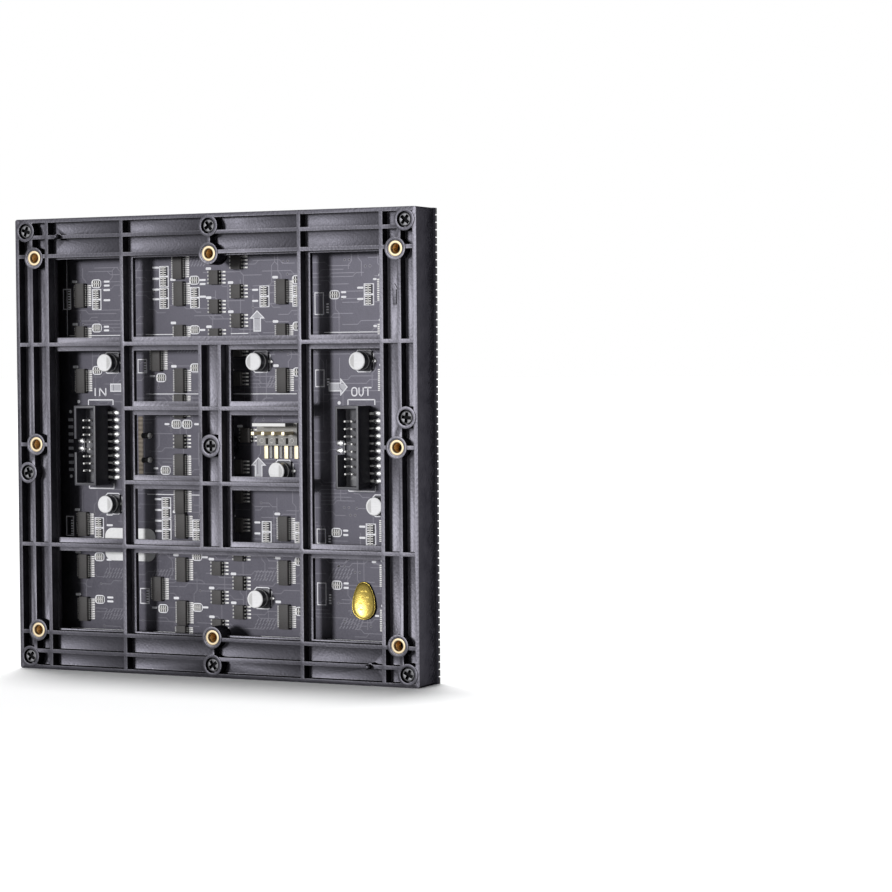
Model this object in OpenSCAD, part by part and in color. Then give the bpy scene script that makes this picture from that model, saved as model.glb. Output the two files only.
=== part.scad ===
// Square LED display tile: a matrix of pixels on the front of a circuit board,
// driver electronics on its rear, and a moulded rear frame that screws to the board
// and carries threaded inserts for fixing the tile into a display.
//
// The pieces are drawn lying on the LED face, with x to the right and y up as seen
// from behind and z towards the rear. stand_up() then turns the tile upright:
// LEDs towards -Y, rear towards +Y, lower edge at Z = 0.

/* [Tile] */
// Distance between neighbouring pixels
pixel_pitch = 2.5; // [2.4:0.05:2.7]
// Pixels along each side of the tile
pixels = 64; // [62:2:68]
// Gap that the tile leaves to the next one
tile_gap = 0.4; // [0.2:0.1:0.8]

/* [LEDs and board] */
// Side of one LED body
led_w = 2.1; // [1.5:0.1:2.2]
// Height of one LED body
led_h = 1.2; // [0.8:0.1:1.6]
// Thickness of the circuit board
board_t = 1.6; // [1:0.1:2.4]

/* [Frame] */
// Depth of the frame from the board to its rib tops
frame_depth = 12.8; // [12:0.1:16]
// Thickness of the outer rim
rim_t = 1.4; // [1:0.1:2]
// Radius of the rim's outer corners
rim_corner_r = 0.8; // [0.4:0.1:1.2]
// Thickness of the ribs
rib_t = 1.3; // [0.8:0.1:1.8]
// Thickness of the floor plate
floor_t = 1.8; // [1.2:0.1:2.2]
// Height of the ribs above the floor plate
rib_rise = 3.6; // [3:0.1:3.8]
// Width of the floor's lip between a middle, cross or channel rib and a window
lip_w = 1.7; // [0.8:0.1:2]
// Width of the floor's lip between an inner rib and a window
edge_lip_w = 0.5; // [0.2:0.1:2]
// Height of the collars round the screws and inserts above the rib tops
collar_rise = 0.3; // [0.1:0.1:0.6]
// Distance of the outer rib line from the tile's edge
outer_rib_inset = 6.5; // [5.5:0.1:7.5]
// Distance of the inner rib line from the tile's edge
inner_rib_inset = 13.2; // [12.4:0.1:14]
// Distance of the long middle ribs from the tile's centre
middle_rib_at = 35.4; // [33:0.1:37]
// Distance of the short cross ribs from the tile's centre
cross_rib_at = 12.9; // [12.2:0.1:15]
// Distance of the centre channel's ribs from the tile's centre
channel_rib_at = 3.9; // [3.2:0.1:4.6]
// Diameter of the locating pegs
peg_d = 1.7; // [1.4:0.1:2]
// Height of the locating pegs above the rib tops
peg_h = 2.6; // [1.5:0.1:4]
// Diameter of the thicker root that carries a locating peg
peg_root_d = 2.3; // [2.2:0.1:3]
// Distance of the locating pegs from the tile's middle
peg_at = 61.3; // [45:0.1:64]
// Diameter of the ejector pads on the middle ribs' crossings
pad_d = 2.4; // [1.9:0.1:3]

/* [Screws] */
// Distance of the screws from the tile's edge
screw_inset = 4.3; // [3.8:0.1:4.8]
// Distance of the side screws from the tile's middle
side_screw_shift = 10; // [8:0.5:16]
// Diameter of the screw's thread
screw_d = 2.5; // [2:0.1:3]
// Diameter of the screw's head
screw_head_d = 4.6; // [4.2:0.1:4.8]
// Slack around a screw's head in its pocket
head_slack = 0.4; // [0.2:0.1:0.5]
// Height of the screw's head
screw_head_h = 1.7; // [1.2:0.1:2.2]
// Depth of the screw head's top below the rib tops
screw_sink = 0.3; // [0.2:0.1:1]
// Outer diameter of the posts that hold the screws
post_d = 7.4; // [6.8:0.1:7.5]
// Outer diameter of the post in the tile's centre
centre_post_d = 7.8; // [7.2:0.1:8]
// Diameter of the solder nuts on the board
nut_d = 4.6; // [4:0.1:5]
// Height of the solder nuts on the board
nut_h = 2; // [1.5:0.1:3]

/* [Threaded inserts] */
// Distance of the side inserts from the tile's edge
insert_inset = 7.8; // [7:0.1:9]
// Shift of the upper and lower inserts from the inner ribs towards the tile's middle
insert_shift = 0.6; // [0:0.1:1]
// Outer diameter of a threaded insert
insert_d = 5.2; // [5:0.1:5.8]
// Thread core diameter of an insert
insert_bore_d = 3.3; // [2.5:0.1:3.6]
// Length of a threaded insert
insert_l = 5.5; // [4:0.1:6]
// Outer diameter of the boss around an insert
insert_boss_d = 7.6; // [7.2:0.1:8.6]

/* [Data headers] */
// Width of a data header's box
shroud_w = 8.9; // [8.4:0.1:9.6]
// Length of a data header's box
shroud_l = 28.2; // [27.4:0.1:30]
// Height of a data header's box above the board
shroud_h = 9.2; // [8:0.1:11]
// Wall thickness of a data header's box
shroud_wall = 0.9; // [0.7:0.1:1.2]
// Width of the key slot in a data header's wall
key_w = 4.8; // [3.5:0.1:5.5]
// Pin pitch of a data header
pin_pitch = 2.54; // [2.4:0.02:2.6]
// Pins in each row of a data header
pin_rows = 8; // [5:1:8]
// Side of a data pin
pin_w = 0.64; // [0.5:0.02:0.8]
// Reach of the soldered legs from the header's middle
leg_reach = 8.6; // [6.4:0.1:9]

/* [Power header] */
// Pin pitch of the power header
power_pitch = 3.96; // [3.6:0.02:4.1]
// Pins in the power header
power_pin_n = 4; // [2:1:4]
// Side of a power pin
power_pin_w = 1.14; // [0.9:0.02:1.4]
// Height of a power pin above the board
power_pin_h = 9.7; // [8:0.1:11]
// Depth of the power header's base
power_base_w = 7.8; // [7:0.1:8.4]
// Height of the power header's base
power_base_h = 3.4; // [2.8:0.1:4.2]
// Height of the power header's latch wall
power_wall_h = 9; // [7:0.1:10]

/* [Capacitors] */
// Diameter of a capacitor's can
can_d = 6.3; // [5:0.1:6.4]
// Height of a capacitor above the board
can_top = 5.4; // [4.6:0.1:5.8]
// Thickness of a capacitor's plinth
plinth_t = 1; // [0.6:0.1:1.4]

/* [Chips] */
// Width of a chip's body
chip_w = 3.9; // [3.4:0.1:4.2]
// Length of a long chip's body
long_chip_l = 8.6; // [7.6:0.1:8.7]
// Length of a short chip's body
short_chip_l = 4.9; // [4.2:0.1:5.6]
// Height of a chip's body above the board
chip_h = 1.6; // [1:0.1:2.2]
// Distance between the lead tips on both sides of a chip
lead_span = 6.4; // [6:0.1:6.8]
// Thickness of a lead
lead_t = 0.18; // [0.12:0.02:0.3]
// Leads on each side of a long chip
long_leads = 12; // [8:1:12]
// Lead pitch of a long chip
long_lead_pitch = 0.635; // [0.5:0.005:0.65]
// Leads on each side of a short chip
short_leads = 4; // [2:1:4]
// Lead pitch of a short chip
short_lead_pitch = 1.27; // [0.8:0.01:1.3]
// Distance between the driver columns
driver_col_pitch = 41.2; // [40.4:0.1:41.6]
// Distance between the drivers of one group
driver_row_pitch = 15.2; // [14.4:0.1:15.6]
// Distance between the row switches of one group
switch_pitch = 10.1; // [9.4:0.1:10.4]

/* [Stickers] */
// Radius of the seal's wide end
seal_r = 4.5; // [3.5:0.1:5]
// Radius of the seal's narrow end
seal_tip_r = 3; // [2.6:0.1:3.4]
// Overall length of the seal
seal_l = 13; // [11:0.1:15]
// Width of the paper label
label_w = 21; // [16:0.5:22]
// Height of the paper label
label_l = 11.6; // [9:0.1:13]
// Thickness of a sticker
sticker_t = 0.12; // [0.05:0.01:0.3]

/* [Hidden] */
$fn = 48;
// Slack around pieces that sit in a pocket or on a thread
fit = 0.05;
// Slack around a screw's shank in its post
shank_slack = 0.2;
// Overshoot of a cut past the face that it opens
over = 0.5;

tile_w = pixels * pixel_pitch;
body_w = tile_w - tile_gap;
edge = body_w / 2;

// Levels above the LED face
board_z = led_h;
solder_z = board_z + board_t;
top_z = solder_z + frame_depth;
floor_z = top_z - rib_rise;
floor_under_z = floor_z - floor_t;
stand_y = -(top_z + peg_h) / 2;

// Rib lines, all measured from the centre
outer_rib_at = edge - outer_rib_inset;
inner_rib_at = edge - inner_rib_inset;
// From a rib line to the window beside it: the windows come close to the inner ribs
function window_gap(line) = rib_t / 2 + (abs(line) < inner_rib_at ? lip_w : edge_lip_w);

screw_at = edge - screw_inset;
insert_at = edge - insert_inset;
insert_row_at = inner_rib_at - insert_shift;
seat_z = top_z - screw_sink - screw_head_h;
post_bore_d = screw_d + 2 * shank_slack;
head_pocket_d = screw_head_d + 2 * head_slack;

// Centres of the screws and inserts
SCREWS = concat(
    [for (x = [-1, 0, 1], y = [-1, 1]) [x * screw_at, y * screw_at]],
    [[-screw_at, -side_screw_shift], [screw_at, side_screw_shift]],
    [[0, 0]]
);
INSERTS = concat(
    [for (x = [-1, 1], y = [-1, 1]) [x * insert_at, y * insert_row_at]],
    [for (y = [-1, 1]) [0, y * insert_row_at]],
    [for (x = [-1, 1]) [x * insert_at, 0]]
);
PEGS = [[-peg_at, outer_rib_at], [peg_at, -outer_rib_at]];
RIB_CROSSINGS = [for (x = [-1, 1], y = [-1, 1]) [x * middle_rib_at, y * middle_rib_at]];

// Insert boss: reaches at least to the floor's underside, with a closed end
boss_end_t = 1.2;
boss_h = max(rib_rise + floor_t, insert_l + boss_end_t);
// Gap between an insert and the collar round it
collar_gap = 0.4;
insert_flange_t = 0.8;
insert_waist = 0.25;
insert_chamfer = 0.2;

// Screw head: rounded edge and cross recess
head_edge_r = 0.5;
recess_l = 3.6;
recess_w = 1.15;
recess_depth = 1.1;
recess_turn = 45;

// Peg tip
peg_tip_h = 0.6;
peg_tip_taper = 0.4;

// Raised arrow in the right-hand channel
arrow_h = 0.4;
arrow_w = 1.1;
arrow_head_w = 2.2;
arrow_head_l = 2;
arrow_l = 7;
arrow_from_middle = 47.5;

// Data headers, centres on the board
DATA_IN_AT = [-53.8, -0.4];
DATA_OUT_AT = [51.2, -0.4];
shroud_lift = 1;
shroud_base_t = 2;
shroud_foot_l = 1.2;
leg_t = 0.4;
key_depth = 5.4;
data_pin_sink = 1;
data_pin_top = shroud_h - data_pin_sink;
tab_w = 0.9;

// Power header: middle of the pin row on the board
POWER_AT = [20.9, 4.3];
power_end = 1.95;
power_l = (power_pin_n - 1) * power_pitch + 2 * power_end;
power_front = 4.3;
power_wall_t = 1.1;
power_wall_short = 1.4;
power_wall_l = power_l - 2 * power_wall_short;
power_tail_w = 1.5;
power_tail_t = 0.5;
power_tail_end = 8.9;
power_slot_w = 1.1;
power_slot_l = 2.2;
power_slot_depth = 2.2;
power_slot_gap = 1.7;

// Capacitors
CAPACITORS = [
    [-47.9, 28.8], [12.9, 28.8], [53.2, 28.8], [-48.2, -21.3],
    [21.6, -8.8], [12.7, -53], [59.3, -20.2]
];
can_r = can_d / 2;
plinth_margin = 0.15;
plinth_w = can_d + 2 * plinth_margin;
plinth_chamfer = 1.3;
can_edge_r = 0.5;
can_groove = 0.3;
can_groove_rise = 0.9;
can_groove_h = 0.7;
cap_tab_w = 0.8;
cap_tab_l = 1.2;
cap_tab_t = 0.3;

// Chips: bevel of the upper edge, and the leads' height, foot, shoulder as a share of their
// way from the body to the heel, and widths
chip_bevel = 0.25;
lead_rise = 0.7;
lead_foot = 0.6;
lead_shoulder = 0.7;
long_lead_w = 0.25;
short_lead_w = 0.42;

// Driver chips: columns about a middle line, two groups of three
driver_cols = 4;
driver_mid = 1.2;
DRIVER_TOPS = [52.8, -28.7];
drivers_in_group = 3;

// Row switches: groups as [x, first y, count], each going down from its first
SWITCHES_LEFT = [[-5, 58.2, 3], [-5, -43.1, 3]];
SWITCHES_RIGHT = [[3.9, 63.3, 5], [3.9, -7.6, 6]];
LONE_SWITCH_AT = [7.15, 3.4];
function switch_places(groups) = [
    for (group = groups, i = [0 : group[2] - 1]) [group[0], group[1] - i * switch_pitch]
];
LEFT_SWITCHES = switch_places(SWITCHES_LEFT);
RIGHT_SWITCHES = concat(switch_places(SWITCHES_RIGHT), [LONE_SWITCH_AT]);

// Logic chips beside the second driver column
LOGIC_LONG = [
    [-19.7, 62.2], [-19.7, 13.4], [-19.7, -7.6], [-19.7, -20],
    [-19.7, -67.9], [-29, 30], [-29.5, -51]
];
LOGIC_SHORT = [[-19.7, 1.1]];

// Resistor arrays: one pair per place
ARRAY_PAIRS = [
    [-54.2, 51.3], [-13.4, 51.3], [14.6, 51.3], [27.6, 51.3], [55.3, 51.3],
    [-54.2, -30], [-13.4, -30], [14.6, -30], [27.6, -30], [55.3, -30],
    [-26, 51.3], [-26, 58.9], [-26, -22.4], [-26, -30]
];
array_w = 1.6;
array_l = 3.2;
array_h = 0.6;
array_pitch = 3.7;

// Small resistor arrays, which lie across
SMALL_ARRAYS = [
    [-54.3, 56.9], [-54.3, 41.2], [-54.3, 26.1], [-54.3, -40.4], [-54.3, -55.6],
    [-13.6, 57.4], [-13.6, 40.1], [-13.6, 26.8], [-13.6, -39.2], [-13.6, -57.1],
    [27.6, 56.8], [27.6, 40.9], [27.6, 25.2], [27.6, -39.8], [27.6, -57.1],
    [42, 51.4], [42, -29.6], [42, -47.6], [-27.6, 23.4], [-21.5, 7.1],
    [-17.1, 7.1], [-26.2, -9.2], [-27.8, -58]
];
small_array_l = 2.4;
small_array_w = 1.1;
small_array_h = 0.45;

// Round line diodes and the bare power bus
DIODES = [[-33.3, 3], [-33.3, -5.6]];
diode_d = 1.9;
diode_l = 3.4;
diode_cap_l = 0.8;
diode_waist = 0.2;
BUS_AT = [-36.3, -0.4];
bus_w = 2;
bus_l = 20.4;
bus_t = 0.1;

SEAL_AT = [52.7, -54.6];
LABEL_AT = [-41.2, -35.7];
label_r = 3;

// Shared shapes

// Turns a piece drawn on its LED face into the tile's upright place
module stand_up() {
    translate([0, stand_y, edge]) rotate([90, 0, 180]) children();
}

// Box between two corners
module span(low, high) {
    translate(low) cube(high - low);
}

// Upright box centred on x and y
module block(size, z) {
    translate([-size[0] / 2, -size[1] / 2, z]) cube(size);
}

// Square with round corners
module rounded_square(size, r) {
    square([size[0] - 2 * r, size[1]], center = true);
    square([size[0], size[1] - 2 * r], center = true);
    for (x = [-1, 1], y = [-1, 1]) {
        translate([x * (size[0] / 2 - r), y * (size[1] / 2 - r)]) circle(r);
    }
}

// Half section of a round piece: a rectangle beside the axis with its upper outer corner rounded
module round_topped(r, h, edge_r) {
    square([r, h - edge_r]);
    square([r - edge_r, h]);
    intersection() {
        translate([r - edge_r, h - edge_r]) circle(edge_r);
        square([r, h]);
    }
}

// Places its children at each point of a list
module at_each(points) {
    for (p = points) translate([p[0], p[1], 0]) children();
}

// Frame

// Outer wall all round
module rim() {
    translate([0, 0, solder_z]) linear_extrude(frame_depth) difference() {
        rounded_square([body_w, body_w], rim_corner_r);
        square(body_w - 2 * rim_t, center = true);
    }
}

// One window between two rib lines each way
module window(x0, x1, y0, y1) {
    span([x0 + window_gap(x0), y0 + window_gap(y0), floor_under_z - over],
         [x1 - window_gap(x1), y1 - window_gap(y1), floor_z + over]);
}

// Windows of the two side columns and of the middle column's ends
module outer_windows() {
    lines = [-inner_rib_at, -middle_rib_at, middle_rib_at, inner_rib_at];
    for (row = [0 : 2], col = [0, 2]) {
        window(lines[col], lines[col + 1], lines[row], lines[row + 1]);
    }
    for (row = [0, 2]) {
        window(lines[1], lines[2], lines[row], lines[row + 1]);
    }
}

// Windows of the middle cell, three on each side of the centre channel
module inner_windows() {
    lines = [-middle_rib_at, -cross_rib_at, cross_rib_at, middle_rib_at];
    for (row = [0 : 2]) {
        window(-middle_rib_at, -channel_rib_at, lines[row], lines[row + 1]);
        window(channel_rib_at, middle_rib_at, lines[row], lines[row + 1]);
    }
}

module floor_plate() {
    inside = body_w - 2 * rim_t + over;
    difference() {
        block([inside, inside, floor_t], floor_under_z);
        outer_windows();
        inner_windows();
    }
}

// Rib along y at x, between two ends
module rib_along_y(x, y0, y1) {
    span([x - rib_t / 2, y0, floor_z], [x + rib_t / 2, y1, top_z]);
}

// Rib along x at y, between two ends
module rib_along_x(y, x0, x1) {
    span([x0, y - rib_t / 2, floor_z], [x1, y + rib_t / 2, top_z]);
}

module rib_lattice() {
    reach = edge - rim_t / 2;
    for (side = [-1, 1]) {
        for (line = [outer_rib_at, inner_rib_at, middle_rib_at]) {
            rib_along_y(side * line, -reach, reach);
            rib_along_x(side * line, -reach, reach);
        }
        rib_along_y(side * channel_rib_at, -middle_rib_at, middle_rib_at);
        rib_along_x(side * cross_rib_at, -middle_rib_at, middle_rib_at);
    }
    rib_along_x(0, -reach, -inner_rib_at);
    rib_along_x(0, inner_rib_at, reach);
    rib_along_y(0, -reach, -inner_rib_at);
    rib_along_y(0, inner_rib_at, reach);
}

// Round post from the floor to the rib tops
module rib_post(d) {
    translate([0, 0, floor_z]) cylinder(d = d, h = rib_rise);
}

// Peg with a tapered tip on a thicker root in its rib
module peg() {
    straight = peg_h - peg_tip_h;
    rib_post(peg_root_d);
    translate([0, 0, top_z]) cylinder(d = peg_d, h = straight);
    translate([0, 0, top_z + straight]) {
        cylinder(d1 = peg_d, d2 = peg_d - 2 * peg_tip_taper, h = peg_tip_h);
    }
}

// Low arrow that shows which edge is up
module up_arrow() {
    shaft_l = arrow_l - arrow_head_l;
    translate([0, 0, floor_z]) linear_extrude(arrow_h) {
        translate([-arrow_w / 2, 0]) square([arrow_w, shaft_l]);
        polygon([[-arrow_head_w / 2, shaft_l], [arrow_head_w / 2, shaft_l], [0, arrow_l]]);
    }
}

// Room for one screw: head pocket, shank and the solder nut below
module screw_bore() {
    translate([0, 0, seat_z]) cylinder(d = head_pocket_d, h = top_z - seat_z + collar_rise + over);
    translate([0, 0, solder_z - over]) cylinder(d = post_bore_d, h = seat_z - solder_z + 2 * over);
    translate([0, 0, solder_z - over]) cylinder(d = nut_d + 2 * fit, h = nut_h + over);
}

// Room for one threaded insert, wider inside the collar
module insert_bore() {
    translate([0, 0, top_z - insert_l]) cylinder(d = insert_d + 2 * fit, h = insert_l + over);
    translate([0, 0, top_z]) cylinder(d = insert_d + 2 * collar_gap, h = collar_rise + over);
}

module frame() {
    post_h = frame_depth + collar_rise;
    color([0.16, 0.16, 0.18]) stand_up() difference() {
        union() {
            rim();
            floor_plate();
            rib_lattice();
            at_each([for (p = SCREWS) if (p != [0, 0]) p])
                translate([0, 0, solder_z]) cylinder(d = post_d, h = post_h);
            translate([0, 0, solder_z]) cylinder(d = centre_post_d, h = post_h);
            at_each(INSERTS) translate([0, 0, top_z - boss_h]) {
                cylinder(d = insert_boss_d, h = boss_h + collar_rise);
            }
            at_each(PEGS) peg();
            at_each(RIB_CROSSINGS) rib_post(pad_d);
            translate([(outer_rib_at + inner_rib_at) / 2, arrow_from_middle, 0]) up_arrow();
        }
        at_each(SCREWS) screw_bore();
        at_each(INSERTS) insert_bore();
    }
}

// Fasteners

// Brass bush with a flange at its mouth, a waist and a chamfered thread
module insert_nut() {
    r = insert_d / 2;
    bore = insert_bore_d / 2;
    translate([0, 0, top_z - insert_l]) rotate_extrude() polygon([
        [bore, 0],
        [r - insert_waist, 0],
        [r - insert_waist, insert_l - insert_flange_t],
        [r, insert_l - insert_flange_t],
        [r, insert_l],
        [bore + insert_chamfer, insert_l],
        [bore, insert_l - insert_chamfer]
    ]);
}

module insert_nuts() {
    color([0.83, 0.62, 0.3]) stand_up() at_each(INSERTS) insert_nut();
}

// Pan-head screw with a cross recess
module frame_screw() {
    difference() {
        translate([0, 0, seat_z]) rotate_extrude() {
            round_topped(screw_head_d / 2, screw_head_h, head_edge_r);
        }
        for (turn = [0, 90]) rotate(recess_turn + turn) {
            block([recess_l, recess_w, recess_depth + over], seat_z + screw_head_h - recess_depth);
        }
    }
    translate([0, 0, solder_z + fit]) cylinder(d = screw_d, h = seat_z - solder_z - fit);
}

module frame_screws() {
    color([0.06, 0.06, 0.07]) stand_up() at_each(SCREWS) frame_screw();
}

module board_nuts() {
    color([0.75, 0.75, 0.76]) stand_up() at_each(SCREWS) translate([0, 0, solder_z]) difference() {
        cylinder(d = nut_d, h = nut_h - fit);
        translate([0, 0, -over]) cylinder(d = screw_d + 2 * fit, h = nut_h + 2 * over);
    }
}

// Board and pixels

module circuit_board() {
    color([0.1, 0.1, 0.12]) stand_up() block([body_w, body_w, board_t], board_z);
}

// One bar per row of pixels
module led_rows() {
    row_l = (pixels - 1) * pixel_pitch + led_w;
    color([0.08, 0.07, 0.07]) stand_up() for (i = [0 : pixels - 1]) {
        translate([0, (i - (pixels - 1) / 2) * pixel_pitch, 0]) block([row_l, led_w, led_h], 0);
    }
}

// Data headers

// Centres of the pins along a header
function pin_places() = [for (i = [0 : pin_rows - 1]) (i - (pin_rows - 1) / 2) * pin_pitch];

// Open box with a key slot in its left wall, on two end feet
module data_shroud(place) {
    base_z = solder_z + shroud_lift;
    inner_w = shroud_w - 2 * shroud_wall;
    inner_l = shroud_l - 2 * shroud_wall;
    cavity_z = base_z + shroud_base_t;
    color([0.09, 0.09, 0.1]) stand_up() translate([place[0], place[1], 0]) difference() {
        union() {
            block([shroud_w, shroud_l, shroud_h - shroud_lift], base_z);
            for (end = [-1, 1]) translate([0, end * (shroud_l - shroud_foot_l) / 2, 0]) {
                block([shroud_w, shroud_foot_l, shroud_lift + over], solder_z);
            }
        }
        block([inner_w, inner_l, shroud_h], cavity_z);
        translate([-(shroud_w - shroud_wall) / 2, 0, 0]) {
            block([shroud_wall + over, key_w, key_depth + over], solder_z + shroud_h - key_depth);
        }
        for (side = [-1, 1], y = pin_places()) translate([side * pin_pitch / 2, y, 0]) {
            block([pin_w + 2 * fit, pin_w + 2 * fit, shroud_base_t + 2 * over], base_z - over);
        }
    }
}

// Two rows of pins with soldered legs, and a hold-down tab at each corner
module data_pins(place) {
    leg_in = pin_pitch / 2 - pin_w / 2;
    tab_y = (pin_rows + 1) / 2 * pin_pitch;
    tab_in = shroud_w / 4;
    color([0.85, 0.83, 0.78]) stand_up() translate([place[0], place[1], solder_z]) {
        for (side = [0, 180]) rotate(side) {
            for (y = pin_places()) translate([0, y, 0]) {
                span([leg_in, -pin_w / 2, 0], [leg_in + pin_w, pin_w / 2, data_pin_top]);
                span([leg_in, -pin_w / 2, 0], [leg_reach, pin_w / 2, leg_t]);
            }
            for (end = [-1, 1]) translate([0, end * tab_y, 0]) {
                span([tab_in, -tab_w / 2, 0], [leg_reach, tab_w / 2, leg_t]);
            }
        }
    }
}

// Power header

// Centres of the power pins along the header
function power_places() = [for (i = [0 : power_pin_n - 1]) (i - (power_pin_n - 1) / 2) * power_pitch];

// Base with a slot for each soldered tail, a latch wall and gaps between the ways
module power_housing() {
    rear = power_base_w - power_front;
    color([0.82, 0.8, 0.74]) stand_up() translate([POWER_AT[0], POWER_AT[1], 0]) difference() {
        union() {
            span([-power_l / 2, -power_front, solder_z], [power_l / 2, rear, solder_z + power_base_h]);
            span([-power_wall_l / 2, rear - power_wall_t, solder_z],
                 [power_wall_l / 2, rear, solder_z + power_wall_h]);
        }
        for (x = power_places()) translate([x, 0, 0]) {
            hole = power_pin_w / 2 + fit;
            tail = power_tail_w / 2 + fit;
            span([-hole, -hole, solder_z - over], [hole, hole, solder_z + power_base_h + over]);
            span([-tail, -power_front - over, solder_z - over], [tail, hole, solder_z + power_tail_t + fit]);
        }
        for (i = [0 : power_pin_n - 2]) {
            x = (i - (power_pin_n - 2) / 2) * power_pitch;
            slot_z = solder_z + power_base_h - power_slot_depth;
            span([x - power_slot_w / 2, -power_slot_gap - power_slot_l, slot_z],
                 [x + power_slot_w / 2, -power_slot_gap, slot_z + power_slot_depth + over]);
        }
    }
}

// Upright pins with flat tails soldered to the board
module power_pins() {
    pin = power_pin_w / 2;
    tail = power_tail_w / 2;
    color([0.85, 0.7, 0.4]) stand_up() translate([POWER_AT[0], POWER_AT[1], solder_z]) {
        for (x = power_places()) translate([x, 0, 0]) {
            span([-pin, -pin, 0], [pin, pin, power_pin_h]);
            span([-tail, -power_tail_end, 0], [tail, pin, power_tail_t]);
        }
    }
}

// Capacitors

// Drawn can with a crimped groove and a rounded top edge
module capacitor_can(place) {
    color([0.86, 0.86, 0.87]) stand_up() translate([place[0], place[1], solder_z + plinth_t]) {
        rotate_extrude() difference() {
            round_topped(can_r, can_top - plinth_t, can_edge_r);
            translate([can_r - can_groove, can_groove_rise]) square([can_groove + over, can_groove_h]);
        }
    }
}

// Square plinth with two cut corners that mark the positive side
module capacitor_base(place) {
    w = plinth_w / 2;
    c = w - plinth_chamfer;
    color([0.07, 0.07, 0.08]) stand_up() translate([place[0], place[1], solder_z]) difference() {
        linear_extrude(plinth_t) polygon([[w, -w], [w, w], [-c, w], [-w, c], [-w, -c], [-c, -w]]);
        for (side = [-1, 1]) translate([side * w, 0, 0]) {
            block([2 * cap_tab_l, cap_tab_w + 2 * fit, cap_tab_t + fit + over], -over);
        }
    }
}

// Soldered tabs at both ends of every plinth
module capacitor_tabs() {
    color([0.85, 0.84, 0.82]) stand_up() at_each(CAPACITORS) for (side = [-1, 1]) {
        translate([side * plinth_w / 2, 0, 0]) {
            block([2 * cap_tab_l - 2 * fit, cap_tab_w, cap_tab_t], solder_z);
        }
    }
}

// Chips and small parts

// Chip body with a bevelled upper edge
module chip(l) {
    low = chip_h - chip_bevel;
    translate([0, 0, solder_z]) rotate([90, 0, 0]) translate([0, 0, -l / 2]) linear_extrude(l) polygon([
        [-chip_w / 2, 0],
        [chip_w / 2, 0],
        [chip_w / 2, low],
        [chip_w / 2 - chip_bevel, chip_h],
        [-chip_w / 2 + chip_bevel, chip_h],
        [-chip_w / 2, low]
    ]);
}

// Bent leads in a row along both sides of a chip, from its flanks down to the board
module leads(count, pitch, w) {
    flank = chip_w / 2;
    tip = lead_span / 2;
    heel = tip - lead_foot;
    knee = flank + lead_shoulder * (heel - flank);
    for (side = [0, 180], i = [0 : count - 1]) rotate(side) {
        y = (i - (count - 1) / 2) * pitch + w / 2;
        translate([0, y, solder_z]) rotate([90, 0, 0]) linear_extrude(w) polygon([
            [flank, lead_rise],
            [knee - lead_t, lead_rise],
            [heel - lead_t, 0],
            [tip, 0],
            [tip, lead_t],
            [heel, lead_t],
            [knee, lead_rise + lead_t],
            [flank, lead_rise + lead_t]
        ]);
    }
}

module long_chip_leads() {
    leads(long_leads, long_lead_pitch, long_lead_w);
}

module short_chip_leads() {
    leads(short_leads, short_lead_pitch, short_lead_w);
}

// Centres of one column of drivers, in two groups
function driver_places(column) = [
    for (top = DRIVER_TOPS, i = [0 : drivers_in_group - 1])
        [driver_mid + (column - (driver_cols + 1) / 2) * driver_col_pitch, top - i * driver_row_pitch]
];

module driver_chips(column) {
    color([0.2, 0.19, 0.19]) stand_up() at_each(driver_places(column)) chip(long_chip_l);
}

module driver_leads() {
    color([0.85, 0.84, 0.82]) stand_up() for (column = [1 : driver_cols]) {
        at_each(driver_places(column)) long_chip_leads();
    }
}

module row_switches(places) {
    color([0.2, 0.19, 0.19]) stand_up() at_each(places) chip(short_chip_l);
}

module switch_leads() {
    color([0.85, 0.84, 0.82]) stand_up() at_each(concat(LEFT_SWITCHES, RIGHT_SWITCHES)) short_chip_leads();
}

module logic_chips() {
    color([0.2, 0.19, 0.19]) stand_up() {
        at_each(LOGIC_LONG) chip(long_chip_l);
        at_each(LOGIC_SHORT) chip(short_chip_l);
    }
}

module logic_leads() {
    color([0.85, 0.84, 0.82]) stand_up() {
        at_each(LOGIC_LONG) long_chip_leads();
        at_each(LOGIC_SHORT) short_chip_leads();
    }
}

module resistor_arrays() {
    color([0.15, 0.14, 0.14]) stand_up() at_each(ARRAY_PAIRS) for (side = [-0.5, 0.5]) {
        translate([0, side * array_pitch, 0]) block([array_w, array_l, array_h], solder_z);
    }
    color([0.15, 0.14, 0.14]) stand_up() at_each(SMALL_ARRAYS) {
        block([small_array_l, small_array_w, small_array_h], solder_z);
    }
}

// Glass-bodied diodes lying on the board, with wider metal end caps
module line_diodes() {
    r = diode_d / 2;
    color([0.7, 0.68, 0.66]) stand_up() at_each(DIODES) translate([-diode_l / 2, 0, solder_z + r]) {
        rotate([0, 90, 0]) rotate_extrude() polygon([
            [0, 0],
            [r, 0],
            [r, diode_cap_l],
            [r - diode_waist, diode_cap_l],
            [r - diode_waist, diode_l - diode_cap_l],
            [r, diode_l - diode_cap_l],
            [r, diode_l],
            [0, diode_l]
        ]);
    }
}

module power_bus() {
    color([0.7, 0.66, 0.58]) stand_up() at_each([BUS_AT]) block([bus_w, bus_l, bus_t], solder_z);
}

// Stickers

// Egg outline: two circles joined by their common tangents
module egg(r, tip_r, l) {
    rise = l - r - tip_r;
    lean = asin((r - tip_r) / rise);
    circle(r);
    translate([0, rise]) circle(tip_r);
    polygon([
        [r * cos(lean), r * sin(lean)],
        [tip_r * cos(lean), rise + tip_r * sin(lean)],
        [-tip_r * cos(lean), rise + tip_r * sin(lean)],
        [-r * cos(lean), r * sin(lean)]
    ]);
}

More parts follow.
